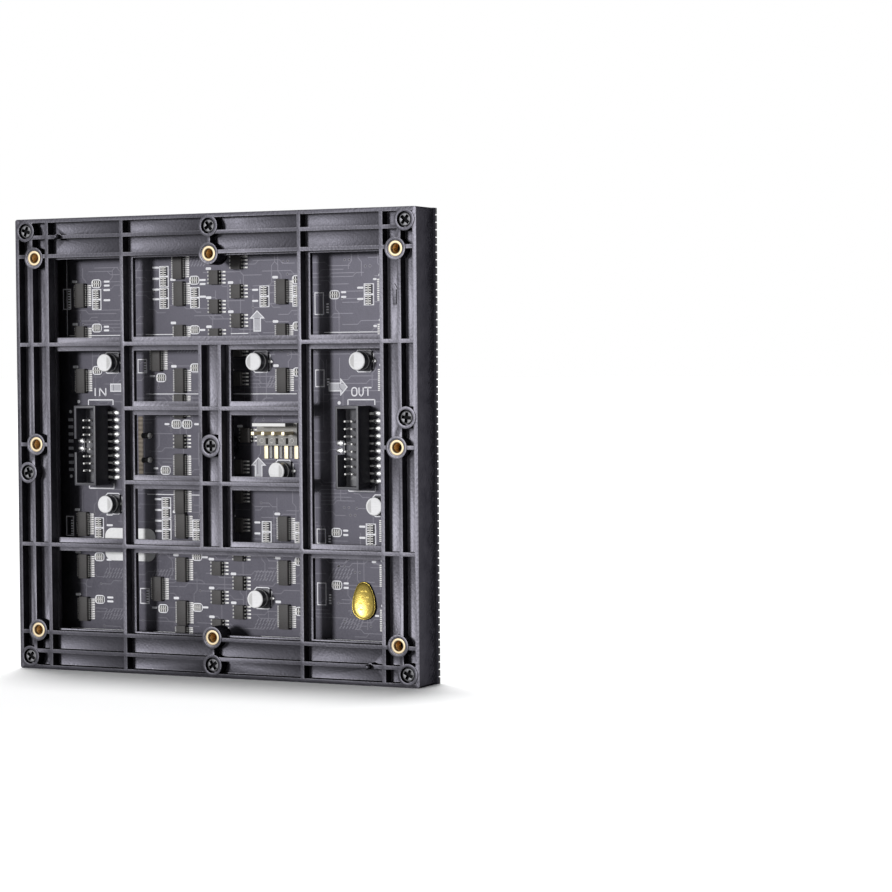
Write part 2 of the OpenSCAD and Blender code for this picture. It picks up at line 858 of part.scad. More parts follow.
module seal_sticker() {
    color([0.85, 0.7, 0.2]) stand_up() translate([SEAL_AT[0], SEAL_AT[1], solder_z]) {
        linear_extrude(sticker_t) egg(seal_r, seal_tip_r, seal_l);
    }
}

module blank_label() {
    color([0.95, 0.95, 0.95]) stand_up() translate([LABEL_AT[0], LABEL_AT[1], solder_z]) {
        linear_extrude(sticker_t) rounded_square([label_w, label_l], label_r);
    }
}

frame();
insert_nuts();
frame_screws();
board_nuts();
circuit_board();
led_rows();
data_shroud(DATA_IN_AT);  // data_in_shroud
data_pins(DATA_IN_AT);  // data_in_pins
data_shroud(DATA_OUT_AT);  // data_out_shroud
data_pins(DATA_OUT_AT);  // data_out_pins
power_housing();
power_pins();
capacitor_can(CAPACITORS[0]);  // capacitor_1_can
capacitor_can(CAPACITORS[1]);  // capacitor_2_can
capacitor_can(CAPACITORS[2]);  // capacitor_3_can
capacitor_can(CAPACITORS[3]);  // capacitor_4_can
capacitor_can(CAPACITORS[4]);  // capacitor_5_can
capacitor_can(CAPACITORS[5]);  // capacitor_6_can
capacitor_can(CAPACITORS[6]);  // capacitor_7_can
capacitor_base(CAPACITORS[0]);  // capacitor_1_base
capacitor_base(CAPACITORS[1]);  // capacitor_2_base
capacitor_base(CAPACITORS[2]);  // capacitor_3_base
capacitor_base(CAPACITORS[3]);  // capacitor_4_base
capacitor_base(CAPACITORS[4]);  // capacitor_5_base
capacitor_base(CAPACITORS[5]);  // capacitor_6_base
capacitor_base(CAPACITORS[6]);  // capacitor_7_base
capacitor_tabs();
driver_chips(1);  // driver_chips_1
driver_chips(2);  // driver_chips_2
driver_chips(3);  // driver_chips_3
driver_chips(4);  // driver_chips_4
row_switches(LEFT_SWITCHES);  // row_switches_left
row_switches(RIGHT_SWITCHES);  // row_switches_right
logic_chips();
driver_leads();
switch_leads();
logic_leads();
resistor_arrays();
line_diodes();
power_bus();
seal_sticker();
blank_label();
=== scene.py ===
"""Looks of a square LED display tile, seen from behind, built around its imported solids.

Sizes are millimetres on the board: u to the right and v up as seen from behind, w out of the board's
solder side towards the rear. Bench turns them into the frame. The floor, the camera's clip distances
and the weld distance are in the frame's metres, and the scales of textures are per metre.
"""
import itertools
import logging
import math
from dataclasses import dataclass, field
from enum import Enum
from typing import Callable, Iterable, Sequence

import bmesh
import bpy
import numpy as np
from mathutils import Matrix, Vector


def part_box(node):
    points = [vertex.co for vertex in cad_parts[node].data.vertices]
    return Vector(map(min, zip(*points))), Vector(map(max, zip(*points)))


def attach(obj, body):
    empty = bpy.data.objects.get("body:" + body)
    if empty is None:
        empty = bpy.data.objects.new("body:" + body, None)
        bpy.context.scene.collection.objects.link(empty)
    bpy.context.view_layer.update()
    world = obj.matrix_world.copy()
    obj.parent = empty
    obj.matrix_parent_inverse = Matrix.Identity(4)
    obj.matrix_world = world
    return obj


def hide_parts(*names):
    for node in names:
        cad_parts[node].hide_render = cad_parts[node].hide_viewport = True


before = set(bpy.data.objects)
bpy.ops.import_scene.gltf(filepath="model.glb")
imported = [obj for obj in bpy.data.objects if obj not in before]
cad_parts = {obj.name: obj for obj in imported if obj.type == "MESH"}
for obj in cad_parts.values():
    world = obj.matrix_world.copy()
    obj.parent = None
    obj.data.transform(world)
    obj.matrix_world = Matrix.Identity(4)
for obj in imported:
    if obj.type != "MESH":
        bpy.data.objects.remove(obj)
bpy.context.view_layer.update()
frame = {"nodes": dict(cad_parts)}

MM = 0.001
BODY = "root"
LOG = logging.getLogger("led_tile")

Pair = tuple[float, float]
Triple = tuple[float, float, float]
Span = tuple[float, float, float, float]
Material = bpy.types.Material
Mesh = bpy.types.Mesh
NodeTree = bpy.types.NodeTree
Socket = bpy.types.NodeSocket
PixelTemplate = tuple[np.ndarray, list[list[int]], list[int]]

SHARP_DEG = 35.0


class Side(Enum):
    """Left or right as seen from behind."""

    LEFT = -1
    RIGHT = 1


@dataclass(frozen=True)
class Bench:
    """Turns board millimetres into the frame's metres and back."""

    face_y: float
    middle_z: float

    @classmethod
    def from_frame(cls) -> "Bench":
        """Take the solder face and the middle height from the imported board."""
        low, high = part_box("circuit_board")
        return cls(high.y / MM, (low.z + high.z) / 2 / MM)

    def point(self, u: float, v: float, w: float = 0.0) -> Vector:
        """Give one board point in the frame's metres."""
        return Vector((-u, self.face_y + w, self.middle_z + v)) * MM

    def direction(self, du: float, dv: float, dw: float) -> Vector:
        """Give one board direction as a unit vector of the frame."""
        return Vector((-du, dw, dv)).normalized()

    def to_frame(self, points: np.ndarray) -> np.ndarray:
        """Turn rows of (u, v, w) into rows of the frame's metres."""
        u, v, w = points.T
        return np.column_stack((-u, w + self.face_y, v + self.middle_z)) * MM

    def from_metres(self, points: np.ndarray) -> np.ndarray:
        """Turn rows of the frame's metres into rows of (u, v, w)."""
        x, y, z = points.T / MM
        return np.column_stack((-x, z - self.middle_z, y - self.face_y))


BENCH = Bench.from_frame()


def solids_of(node: str) -> list[np.ndarray]:
    """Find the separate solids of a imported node.

    Args:
        node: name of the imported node.

    Returns:
        One array of (u, v, w) corner points for each solid.
    """
    mesh = frame["nodes"][node].data
    flat = np.empty(len(mesh.vertices) * 3, np.float32)
    mesh.vertices.foreach_get("co", flat)
    points = BENCH.from_metres(flat.reshape(-1, 3).astype(float))
    ends = np.empty(len(mesh.edges) * 2, np.int32)
    mesh.edges.foreach_get("vertices", ends)
    unique, index = np.unique(np.round(points, 4), axis=0, return_inverse=True)
    start, stop = index.reshape(-1)[ends.reshape(-1, 2)].T
    label = np.arange(len(unique))
    while True:
        lowest = np.minimum(label[start], label[stop])
        before = label.copy()
        np.minimum.at(label, start, lowest)
        np.minimum.at(label, stop, lowest)
        if np.array_equal(before, label):
            break
    return [unique[label == one] for one in np.unique(label)]


def middle_of(points: np.ndarray) -> Triple:
    """Give the middle of a solid's box."""
    return tuple(((points.min(0) + points.max(0)) / 2).tolist())


# Outlines on the board


def rectangle(span: Span) -> list[Pair]:
    """Give the corners of a rectangle between u0, u1, v0 and v1."""
    u0, u1, v0, v1 = span
    return [(u0, v0), (u1, v0), (u1, v1), (u0, v1)]


def about(at: Pair, size: Pair) -> Span:
    """Give the span of a rectangle from its middle and its size."""
    (u, v), (length, width) = at, size
    return u - length / 2, u + length / 2, v - width / 2, v + width / 2


def span_of(points: np.ndarray, margin: Pair) -> Span:
    """Give the span of the rectangle round a solid, with a margin each way."""
    (u0, v0), (u1, v1) = points.min(0)[:2], points.max(0)[:2]
    return u0 - margin[0], u1 + margin[0], v0 - margin[1], v1 + margin[1]


def rounded(span: Span, radius: float, steps: int = 6) -> list[Pair]:
    """Give a rectangle's outline with round corners.

    Args:
        span: u0, u1, v0 and v1 of the rectangle.
        radius: radius of its corners.
        steps: straight pieces in each corner.

    Returns:
        Points in anticlockwise order.
    """
    u0, u1, v0, v1 = span
    corners = ((u1 - radius, v1 - radius), (u0 + radius, v1 - radius),
               (u0 + radius, v0 + radius), (u1 - radius, v0 + radius))
    outline = []
    for quarter, (u, v) in enumerate(corners):
        for step in range(steps + 1):
            angle = (quarter + step / steps) * math.pi / 2
            outline.append((u + radius * math.cos(angle), v + radius * math.sin(angle)))
    return outline


def chamfered(span: Span, depth: float) -> list[Pair]:
    """Give a rectangle's outline with its corners cut off."""
    return rounded(span, depth, 1)


def circle(at: Pair, radius: float, steps: int = 20) -> list[Pair]:
    """Give the points of a circle."""
    turns = (2 * math.pi * step / steps for step in range(steps))
    return [(at[0] + radius * math.cos(turn), at[1] + radius * math.sin(turn)) for turn in turns]


def inset(outline: Sequence[Pair], depth: float) -> list[Pair]:
    """Move every side of an anticlockwise outline inwards by a depth.

    Args:
        outline: points of the outline.
        depth: how far each side moves.

    Returns:
        The moved points.
    """
    least = 0.2
    ring = list(outline)
    moved = []
    for before, here, after in zip(ring[-1:] + ring[:-1], ring, ring[1:] + ring[:1]):
        a = Vector((here[0] - before[0], here[1] - before[1])).normalized()
        b = Vector((after[0] - here[0], after[1] - here[1])).normalized()
        normal = Vector((-a.y - b.y, a.x + b.x))
        reach = depth / max(least, normal.length_squared / 2)
        moved.append((here[0] + normal.x * reach, here[1] + normal.y * reach))
    return moved


class Shape:
    """Gathers corner points and faces, in board millimetres, into one mesh."""

    def __init__(self) -> None:
        """Start with nothing."""
        self.points: list[Triple] = []
        self.faces: list[list[int]] = []
        self.slots: list[int] = []

    def add(self, points: Iterable[Triple], faces: Iterable[Sequence[int]], slot: int = 0) -> None:
        """Add points and the faces between them.

        Args:
            points: new corner points.
            faces: rows of indices into the new points.
            slot: material slot of the new faces.
        """
        first = len(self.points)
        self.points.extend(points)
        for face in faces:
            self.faces.append([first + index for index in face])
            self.slots.append(slot)

    def prism(self, outline: Sequence[Pair], low: float, high: float, slot: int = 0) -> None:
        """Add a closed prism over an anticlockwise outline.

        Args:
            outline: points of the outline.
            low: w of its lower face.
            high: w of its upper face.
            slot: material slot of its faces.
        """
        n = len(outline)
        points = [(u, v, low) for u, v in outline] + [(u, v, high) for u, v in outline]
        sides = [[i, (i + 1) % n, n + (i + 1) % n, n + i] for i in range(n)]
        self.add(points, sides + [list(range(n - 1, -1, -1)), list(range(n, 2 * n))], slot)

    def box(self, span: Span, low: float, high: float, slot: int = 0) -> None:
        """Add a closed box over a rectangle."""
        self.prism(rectangle(span), low, high, slot)

    def ring(self, outer: Sequence[Pair], inner: Sequence[Pair], low: float, high: float) -> None:
        """Add a closed band between two outlines with as many points each.

        Args:
            outer: the outer outline.
            inner: the inner outline.
            low: w of its lower face.
            high: w of its upper face.
        """
        n = len(outer)
        points = [(u, v, w) for w in (low, high) for line in (outer, inner) for u, v in line]
        faces = []
        for i in range(n):
            j = (i + 1) % n
            faces += [[i, j, 2 * n + j, 2 * n + i], [n + j, n + i, 3 * n + i, 3 * n + j],
                      [2 * n + i, 2 * n + j, 3 * n + j, 3 * n + i], [j, i, n + i, n + j]]
        self.add(points, faces)

    def outline(self, outline: Sequence[Pair], stroke: float, high: float) -> None:
        """Add a printed line along the inside of an outline."""
        self.ring(outline, inset(outline, stroke), 0.0, high)

    def strip(self, path: Sequence[Pair], width: float, low: float, high: float) -> None:
        """Add a closed band of one width along an open path.

        Args:
            path: points along its middle.
            width: its width.
            low: w of its lower face.
            high: w of its upper face.
        """
        left, right = [], []
        for i, (u, v) in enumerate(path):
            before = path[max(0, i - 1)]
            after = path[min(len(path) - 1, i + 1)]
            along = Vector((after[0] - before[0], after[1] - before[1])).normalized()
            left.append((u - along.y * width / 2, v + along.x * width / 2))
            right.append((u + along.y * width / 2, v - along.x * width / 2))
        self.prism(right + left[::-1], low, high)

    def lathe(self, profile: Sequence[Pair], at: Pair, steps: int) -> None:
        """Add a closed round form from (radius, w) pairs that run from axis to axis.

        Args:
            profile: radius and height pairs, from the lower end of the axis to the upper end.
            at: u and v of the axis.
            steps: straight pieces round the axis.
        """
        rings = [[(u, v, w) for u, v in circle(at, radius, steps)] for radius, w in profile[1:-1]]
        self.loft(rings, (*at, profile[0][1]), (*at, profile[-1][1]))

    def loft(self, rings: Sequence[Sequence[Triple]], low: Triple, high: Triple) -> None:
        """Add a closed form through anticlockwise rings with as many points each.

        Args:
            rings: rings of points from the lower end to the upper end.
            low: point that closes the lower end.
            high: point that closes the upper end.
        """
        n = len(rings[0])
        last = 1 + n * len(rings)
        faces = []
        for i in range(n):
            j = (i + 1) % n
            faces.append([0, 1 + j, 1 + i])
            for row in range(len(rings) - 1):
                a, b = 1 + row * n, 1 + (row + 1) * n
                faces.append([a + i, a + j, b + j, b + i])
            faces.append([last - n + i, last - n + j, last])
        self.add([low, *(point for ring in rings for point in ring), high], faces)

    def along_v(self, profile: Sequence[Pair], v0: float, v1: float) -> None:
        """Add a closed bar with an anticlockwise (u, w) section from v0 to v1.

        Args:
            profile: u and w pairs of the section.
            v0: v of one end.
            v1: v of the other end.
        """
        n = len(profile)
        points = [(u, v0, w) for u, w in profile] + [(u, v1, w) for u, w in profile]
        sides = [[(i + 1) % n, i, n + i, n + (i + 1) % n] for i in range(n)]
        self.add(points, sides + [list(range(n)), list(range(2 * n - 1, n - 1, -1))])

    def blob(self, at: Triple, radii: Triple, rows: int = 5, steps: int = 14) -> None:
        """Add a closed half ellipsoid that stands on w = at[2].

        Args:
            at: middle of its foot.
            radii: half axes along u, v and w.
            rows: rings of faces up its side.
            steps: straight pieces round it.
        """
        points: list[Triple] = []
        for row in range(rows):
            lift = row / rows * math.pi / 2
            for turn in (2 * math.pi * step / steps for step in range(steps)):
                points.append((at[0] + radii[0] * math.cos(lift) * math.cos(turn),
                               at[1] + radii[1] * math.cos(lift) * math.sin(turn),
                               at[2] + radii[2] * math.sin(lift)))
        points.append((at[0], at[1], at[2] + radii[2]))
        top = len(points) - 1
        faces = [list(range(steps - 1, -1, -1))]
        for i in range(steps):
            j = (i + 1) % steps
            for row in range(rows - 1):
                a, b = row * steps, (row + 1) * steps
                faces.append([a + i, a + j, b + j, b + i])
            faces.append([top - steps + i, top - steps + j, top])
        self.add(points, faces)

    def to_mesh(self, name: str) -> Mesh:
        """Make the mesh in the frame's metres.

        Args:
            name: name of the mesh.

        Returns:
            The new mesh.
        """
        mesh = bpy.data.meshes.new(name)
        placed = BENCH.to_frame(np.array(self.points, float))
        mesh.from_pydata(placed.tolist(), [], self.faces)
        mesh.polygons.foreach_set("material_index", np.array(self.slots, np.int32))
        return mesh


def smooth(mesh: Mesh, degrees: float = SHARP_DEG) -> None:
    """Shade a mesh smooth, with sharp edges above an angle.

    Args:
        mesh: the mesh.
        degrees: the angle.
    """
    mesh.polygons.foreach_set("use_smooth", np.ones(len(mesh.polygons), bool))
    mesh.set_sharp_from_angle(angle=math.radians(degrees))
    mesh.update()


def show(mesh: Mesh, materials: Sequence[Material], replaced: Sequence[str] = ()) -> None:
    """Put a finished mesh into the scene as one piece of the tile.

    Args:
        mesh: the piece's mesh; the piece takes its name.
        materials: its materials, in the order of the mesh's slots.
        replaced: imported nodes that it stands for.
    """
    for material in materials:
        mesh.materials.append(material)
    piece = bpy.data.objects.new(mesh.name, mesh)
    bpy.context.scene.collection.objects.link(piece)
    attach(piece, BODY)
    if replaced:
        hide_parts(*replaced)
    LOG.info("%s: %d faces", piece.name, len(mesh.polygons))


def show_shape(shape: Shape, name: str, materials: Sequence[Material],
               replaced: Sequence[str] = (), sharp: float | None = None) -> None:
    """Make a shape's mesh and show it.

    Args:
        shape: the gathered points and faces.
        name: name of the piece.
        materials: its materials, in the order of the shape's slots.
        replaced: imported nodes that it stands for.
        sharp: angle above which edges stay sharp, or None where every face stays flat.
    """
    mesh = shape.to_mesh(name)
    if sharp is not None:
        smooth(mesh, sharp)
    show(mesh, materials, replaced)


def dress(node: str, material: Material) -> None:
    """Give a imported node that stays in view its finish.

    Args:
        node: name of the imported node.
        material: its finish.
    """
    mesh = frame["nodes"][node].data
    mesh.materials.clear()
    mesh.materials.append(material)
    LOG.info("%s: packed solid", node)


def softened(node: str, name: str, radius: float, segments: int = 2) -> Mesh:
    """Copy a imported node's mesh and round its sharp edges.

    Args:
        node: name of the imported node.
        name: name of the new mesh.
        radius: width of the rounding in millimetres.
        segments: faces across each rounding.

    Returns:
        The new mesh, in the frame's metres.
    """
    weld, flat, sharp, fullness, quad = 1e-6, math.radians(0.5), math.radians(32), 0.6, 4
    bm = bmesh.new()
    bm.from_mesh(frame["nodes"][node].data)
    bmesh.ops.remove_doubles(bm, verts=bm.verts, dist=weld)
    bmesh.ops.dissolve_limit(bm, angle_limit=flat, verts=bm.verts, edges=bm.edges)
    edges = [edge for edge in bm.edges if edge.is_manifold and edge.calc_face_angle(0.0) > sharp]
    bmesh.ops.bevel(bm, geom=edges, offset=radius * MM, segments=segments, profile=fullness,
                    affect="EDGES", clamp_overlap=True, loop_slide=True)
    bmesh.ops.triangulate(bm, faces=[face for face in bm.faces if len(face.verts) > quad])
    mesh = bpy.data.meshes.new(name)
    bm.to_mesh(mesh)
    bm.free()
    if "custom_normal" in mesh.attributes:
        mesh.attributes.remove(mesh.attributes["custom_normal"])
    smooth(mesh)
    return mesh


def show_softened(node: str, name: str, radius: float, material: Material,
                  segments: int = 2) -> None:
    """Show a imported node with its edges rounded."""
    show(softened(node, name, radius, segments), [material], [node])


# Shared surface effects, each a node group that is built once


class Tree:
    """Short hand for making and joining shader nodes."""

    def __init__(self, tree: NodeTree) -> None:
        """Work on one node tree."""
        self.tree = tree

    def node(self, kind: str, inputs: dict | None = None, **settings) -> bpy.types.Node:
        """Add a node.

        Args:
            kind: the node's type, without its ShaderNode prefix.
            inputs: input sockets by name or index, with a value or an output socket to link.
            settings: properties of the node.

        Returns:
            The new node.
        """
        node = self.tree.nodes.new("ShaderNode" + kind)
        for name, value in settings.items():
            setattr(node, name, value)
        for name, value in (inputs or {}).items():
            self.feed(node.inputs[name], value)
        return node

    def feed(self, socket: Socket, value: object) -> None:
        """Link an output to a socket, or set the socket's own value.

        Args:
            socket: the input socket.
            value: an output socket or a value.
        """
        if isinstance(value, Socket):
            self.tree.links.new(value, socket)
        else:
            socket.default_value = value

    def math(self, operation: str, *values: object) -> Socket:
        """Add a Math node and give its output."""
        return self.node("Math", dict(enumerate(values)), operation=operation).outputs[0]

    def noise(self, scale: object, detail: float = 4.0, rough: float = 0.55,
              vector: Socket | None = None) -> Socket:
        """Add a Noise Texture in the frame's coordinates and give its value.

        Args:
            scale: its scale.
            detail: its detail.
            rough: its roughness.
            vector: other coordinates to use.

        Returns:
            The noise, from 0 to 1.
        """
        where = vector or self.node("TexCoord").outputs["Object"]
        return self.node("TexNoise", {"Vector": where, "Scale": scale, "Detail": detail,
                                      "Roughness": rough}).outputs[0]

    def ramp(self, value: Socket, low: float, high: float, to_low: float = 0.0,
             to_high: float = 1.0) -> Socket:
        """Map a value from one range to another, held at both ends."""
        return self.node("MapRange", {"Value": value, "From Min": low, "From Max": high,
                                      "To Min": to_low, "To Max": to_high}).outputs[0]

    def mix(self, factor: object, a: object, b: object) -> Socket:
        """Mix two colours by a factor and give the result.

        Args:
            factor: share of the second colour.
            a: first colour.
            b: second colour.

        Returns:
            The mixed colour.
        """
        node = self.node("Mix", data_type="RGBA")
        self.feed(node.inputs[0], factor)
        first, second = 6, 7
        for socket, colour in ((node.inputs[first], a), (node.inputs[second], b)):
            self.feed(socket, colour if isinstance(colour, Socket) else (*colour, 1.0))
        return node.outputs[2]

    def effect(self, group: NodeTree, output: str, **inputs: float) -> Socket:
        """Place a node group with its own values and give one of its outputs.

        Args:
            group: the shared effect.
            output: name of the output.
            inputs: values of its inputs, by name.

        Returns:
            The output's socket.
        """
        node = self.node("Group", node_tree=group)
        for name, value in inputs.items():
            self.feed(node.inputs[name], value)
        return node.outputs[output]


def effect_group(name: str, inputs: Sequence[str], output: str,
                 build: Callable[[Tree, dict], Socket]) -> NodeTree:
    """Make one shared effect as a node group.

    Args:
        name: name of the group.
        inputs: names of its number inputs.
        output: name of its value output.
        build: makes the nodes from a tree and the input sockets, and gives the result.

    Returns:
        The node group.
    """
    group = bpy.data.node_groups.new(name, "ShaderNodeTree")
    for title in inputs:
        group.interface.new_socket(name=title, in_out="INPUT", socket_type="NodeSocketFloat")
    group.interface.new_socket(name=output, in_out="OUTPUT", socket_type="NodeSocketFloat")
    tree = Tree(group)
    entry = group.nodes.new("NodeGroupInput")
    leave = group.nodes.new("NodeGroupOutput")
    tree.feed(leave.inputs[0], build(tree, {title: entry.outputs[title] for title in inputs}))
    return group


def build_tone(tree: Tree, inputs: dict) -> Socket:
    """Blotches at two sizes, for uneven colour and gloss.

    Args:
        tree: the group's tree.
        inputs: its input sockets, by name.

    Returns:
        The group's value.
    """
    finer_by, broad_share, fine_share, low, high = 9.0, 0.45, 0.55, 0.34, 0.66
    finer = tree.math("MULTIPLY", inputs["Scale"], finer_by)
    broad = tree.math("MULTIPLY", tree.noise(inputs["Scale"]), broad_share)
    both = tree.math("MULTIPLY_ADD", tree.noise(finer), fine_share, broad)
    return tree.ramp(both, low, high)


def build_grain(tree: Tree, inputs: dict) -> Socket:
    """Pebbled height of a spark-eroded mould.

    Args:
        tree: the group's tree.
        inputs: its input sockets, by name.

    Returns:
        The group's value.
    """
    where = tree.node("TexCoord").outputs["Object"]
    cells = tree.node("TexVoronoi", {"Vector": where, "Scale": inputs["Scale"]}).outputs["Distance"]
    cell_share, detail, rough = 0.6, 6.0, 0.7
    return tree.math("MULTIPLY_ADD", cells, cell_share, tree.noise(inputs["Scale"], detail, rough))


def build_wear_and_highlight(tree: Tree, inputs: dict) -> Socket:
    """Mask of the edges that hands and tools have rubbed, which also carries painted highlights along edges.

    Args:
        tree: the group's tree.
        inputs: its input sockets, by name.

    Returns:
        The group's value.
    """
    samples, rubbed_from, rubbed_to = 6, 0.35, 0.62
    round_normal = tree.node("Bevel", {"Radius": inputs["Radius"]}, samples=samples).outputs[0]
    true_normal = tree.node("NewGeometry").outputs["Normal"]
    both = {0: round_normal, 1: true_normal}
    along = tree.node("VectorMath", both, operation="DOT_PRODUCT").outputs["Value"]
    flat, turned, detail, least = 0.985, 0.8, 5.0, 0.25
    gaps = tree.ramp(tree.noise(inputs["Breakup"], detail), rubbed_from, rubbed_to, least, 1.0)
    return tree.math("MULTIPLY", tree.ramp(along, flat, turned), gaps)


def build_dust(tree: Tree, inputs: dict) -> Socket:
    """Fine dust: specks everywhere and a thin film on what faces up.

    Args:
        tree: the group's tree.
        inputs: its input sockets, by name.

    Returns:
        The group's value.
    """
    upward = tree.node("SeparateXYZ", {0: tree.node("NewGeometry").outputs["Normal"]}).outputs[2]
    least, detail, rough = 0.15, 8.0, 0.75
    film_from, speck_from, speck_to = 0.2, 0.58, 0.74
    film = tree.ramp(upward, film_from, 1.0, least, 1.0)
    specks = tree.ramp(tree.noise(inputs["Scale"], detail, rough), speck_from, speck_to)
    return tree.math("MULTIPLY", film, specks)


def build_brushed(tree: Tree, inputs: dict) -> Socket:
    """Fine lines along one direction, as rolling or drawing leaves them.

    Args:
        tree: the group's tree.
        inputs: its input sockets, by name.

    Returns:
        The group's value.
    """
    where = tree.node("TexCoord").outputs["Object"]
    stretch, detail, rough = (0.06, 1.0, 1.0), 3.0, 0.6
    drawn = tree.node("VectorMath", {0: where, 1: stretch}, operation="MULTIPLY").outputs[0]
    return tree.noise(inputs["Scale"], detail, rough, drawn)


@dataclass
class Effects:
    """The node groups that the finishes share."""

    tone: NodeTree = field(default_factory=lambda: effect_group(
        "surface_tone", ["Scale"], "Tone", build_tone))
    grain: NodeTree = field(default_factory=lambda: effect_group(
        "moulded_grain", ["Scale"], "Height", build_grain))
    wear: NodeTree = field(default_factory=lambda: effect_group(
        "edge_wear_and_highlight", ["Radius", "Breakup"], "Edge", build_wear_and_highlight))
    dust: NodeTree = field(default_factory=lambda: effect_group(
        "settled_dust", ["Scale"], "Dust", build_dust))
    brushed: NodeTree = field(default_factory=lambda: effect_group(
        "brushed_lines", ["Scale"], "Lines", build_brushed))


EFFECTS = Effects()


class Pattern(Enum):
    """What a finish shows beyond its grain."""

    PLAIN = "plain"
    TOOLING = "tooling"
    WEAVE = "weave"
    BRUSHED = "brushed"
    STRIPED = "striped"
    CRINKLED = "crinkled"


@dataclass(frozen=True)
class Finish:
    """One surface: its colours, gloss and the effects that break it up."""

    name: str
    dark: Triple
    light: Triple
    rough: Pair = (0.4, 0.55)
    metallic: float = 0.0
    specular: float = 0.5
    edge_tint: float = 1.0
    coat: float = 0.0
    tone: float = 60.0
    grain: float = 2200.0
    grain_depth: float = 0.0
    worn: Triple | None = None
    wear_radius: float = 0.15
    dust: float = 0.0
    pattern: Pattern = Pattern.PLAIN
    pattern_scale: float = 900.0
    margin: float = 0.0
    margin_colour: Triple = (0.0, 0.0, 0.0)
    margin_blend: float = 0.5
    margin_share: float = 0.75
    wall_inside: Pair = (1.5, 0.8)
    breakup: float = 6.0
    dust_scale: float = 1400.0
    dust_colour: Triple = (0.42, 0.41, 0.4)

    def build(self) -> Material:
        """Make the material.

        Returns:
            The new material.
        """
        material = bpy.data.materials.new(self.name)
        material.use_nodes = True
        tree = Tree(material.node_tree)
        shader = material.node_tree.nodes["Principled BSDF"]
        shader.inputs["Metallic"].default_value = self.metallic
        shader.inputs["Specular IOR Level"].default_value = self.specular
        shader.inputs["Specular Tint"].default_value = (*[self.edge_tint] * 3, 1.0)
        shader.inputs["Coat Weight"].default_value = self.coat
        tone = tree.effect(EFFECTS.tone, "Tone", Scale=self.tone)
        colour = tree.mix(tone, self.dark, self.light)
        height = tree.effect(EFFECTS.grain, "Height", Scale=self.grain)
        colour, height = self.patterned(tree, colour, height)
        if self.margin:
            colour = tree.mix(self.outside(tree), colour, self.margin_colour)
        # Rubbed edges; on some finishes these are painted highlights along the edges.
        if self.worn:
            edge = tree.effect(EFFECTS.wear, "Edge", Radius=self.wear_radius * MM,
                               Breakup=self.tone * self.breakup)
            colour = tree.mix(edge, colour, self.worn)
        if self.dust:
            dust = tree.effect(EFFECTS.dust, "Dust", Scale=self.dust_scale)
            colour = tree.mix(tree.math("MULTIPLY", dust, self.dust), colour, self.dust_colour)
        tree.feed(shader.inputs["Base Color"], colour)
        tree.feed(shader.inputs["Roughness"], tree.ramp(tone, 0.0, 1.0, *self.rough))
        if self.grain_depth:
            bump = tree.node("Bump", {"Height": height, "Strength": 1.0,
                                      "Distance": self.grain_depth * MM})
            tree.feed(shader.inputs["Normal"], bump.outputs[0])
        return material

    def outside(self, tree: Tree) -> Socket:
        """Mask the channels above and below the margin, which are darkened.

        Args:
            tree: the material's tree.

        Returns:
            The mask.
        """
        where = tree.node("SeparateXYZ", {0: tree.node("TexCoord").outputs["Object"]}).outputs
        away = tree.math("ABSOLUTE", tree.math("SUBTRACT", where[2], BENCH.middle_z * MM))
        start, end = self.margin - self.margin_blend, self.margin + self.margin_blend
        beyond = tree.ramp(away, start * MM, end * MM, 0.0, self.margin_share)
        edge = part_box("frame")[1].x
        inner, outer = (edge - depth * MM for depth in self.wall_inside)
        within = tree.ramp(tree.math("ABSOLUTE", where[0]), inner, outer, 1.0, 0.0)
        return tree.math("MULTIPLY", beyond, within)

    def patterned(self, tree: Tree, colour: Socket, height: Socket) -> tuple[Socket, Socket]:
        """Lay this finish's pattern over its colour and height.

        Args:
            tree: the material's tree.
            colour: the colour so far.
            height: the grain's height so far.

        Returns:
            The colour and the height with the pattern.
        """
        if self.pattern is Pattern.PLAIN:
            return colour, height
        if self.pattern is Pattern.BRUSHED:
            low, high, most = 0.35, 0.65, 0.5
            lines = tree.effect(EFFECTS.brushed, "Lines", Scale=self.pattern_scale)
            return tree.mix(tree.ramp(lines, low, high, 0.0, most), colour, self.light), lines
        if self.pattern is Pattern.CRINKLED:
            detail, rough, depth = 3.0, 0.5, 1.5
            creases = tree.noise(self.pattern_scale, detail, rough)
            return colour, tree.math("MULTIPLY_ADD", creases, depth, height)
        where = tree.node("TexCoord").outputs["Object"]
        direction = {Pattern.TOOLING: "DIAGONAL", Pattern.STRIPED: "Z", Pattern.WEAVE: "X"}[self.pattern]
        distortion, detail, tooling_share, weave_share = 1.5, 2.0, 0.3, 0.15
        wave = {"Vector": where, "Scale": self.pattern_scale, "Distortion": distortion, "Detail": detail}
        bands = tree.node("TexWave", wave, bands_direction=direction).outputs["Fac"]
        if self.pattern is Pattern.STRIPED:
            return tree.mix(bands, colour, self.light), tree.math("ADD", height, bands)
        if self.pattern is Pattern.WEAVE:
            across = tree.node("TexWave", wave, bands_direction="Z").outputs["Fac"]
            bands = tree.math("MAXIMUM", bands, across)
        share = {Pattern.TOOLING: tooling_share, Pattern.WEAVE: weave_share}[self.pattern]
        patch_scale, patch_from, patch_to = 90.0, 0.42, 0.62
        patch = tree.ramp(tree.noise(patch_scale, detail), patch_from, patch_to, 0.0, share)
        strength = tree.math("MULTIPLY", bands, patch)
        return tree.mix(strength, colour, self.light), tree.math("ADD", height, strength)


def made(*values: object, **more: object) -> Material:
    """Declare one finish, which is built with the others."""
    return field(default_factory=lambda: Finish(*values, **more).build())


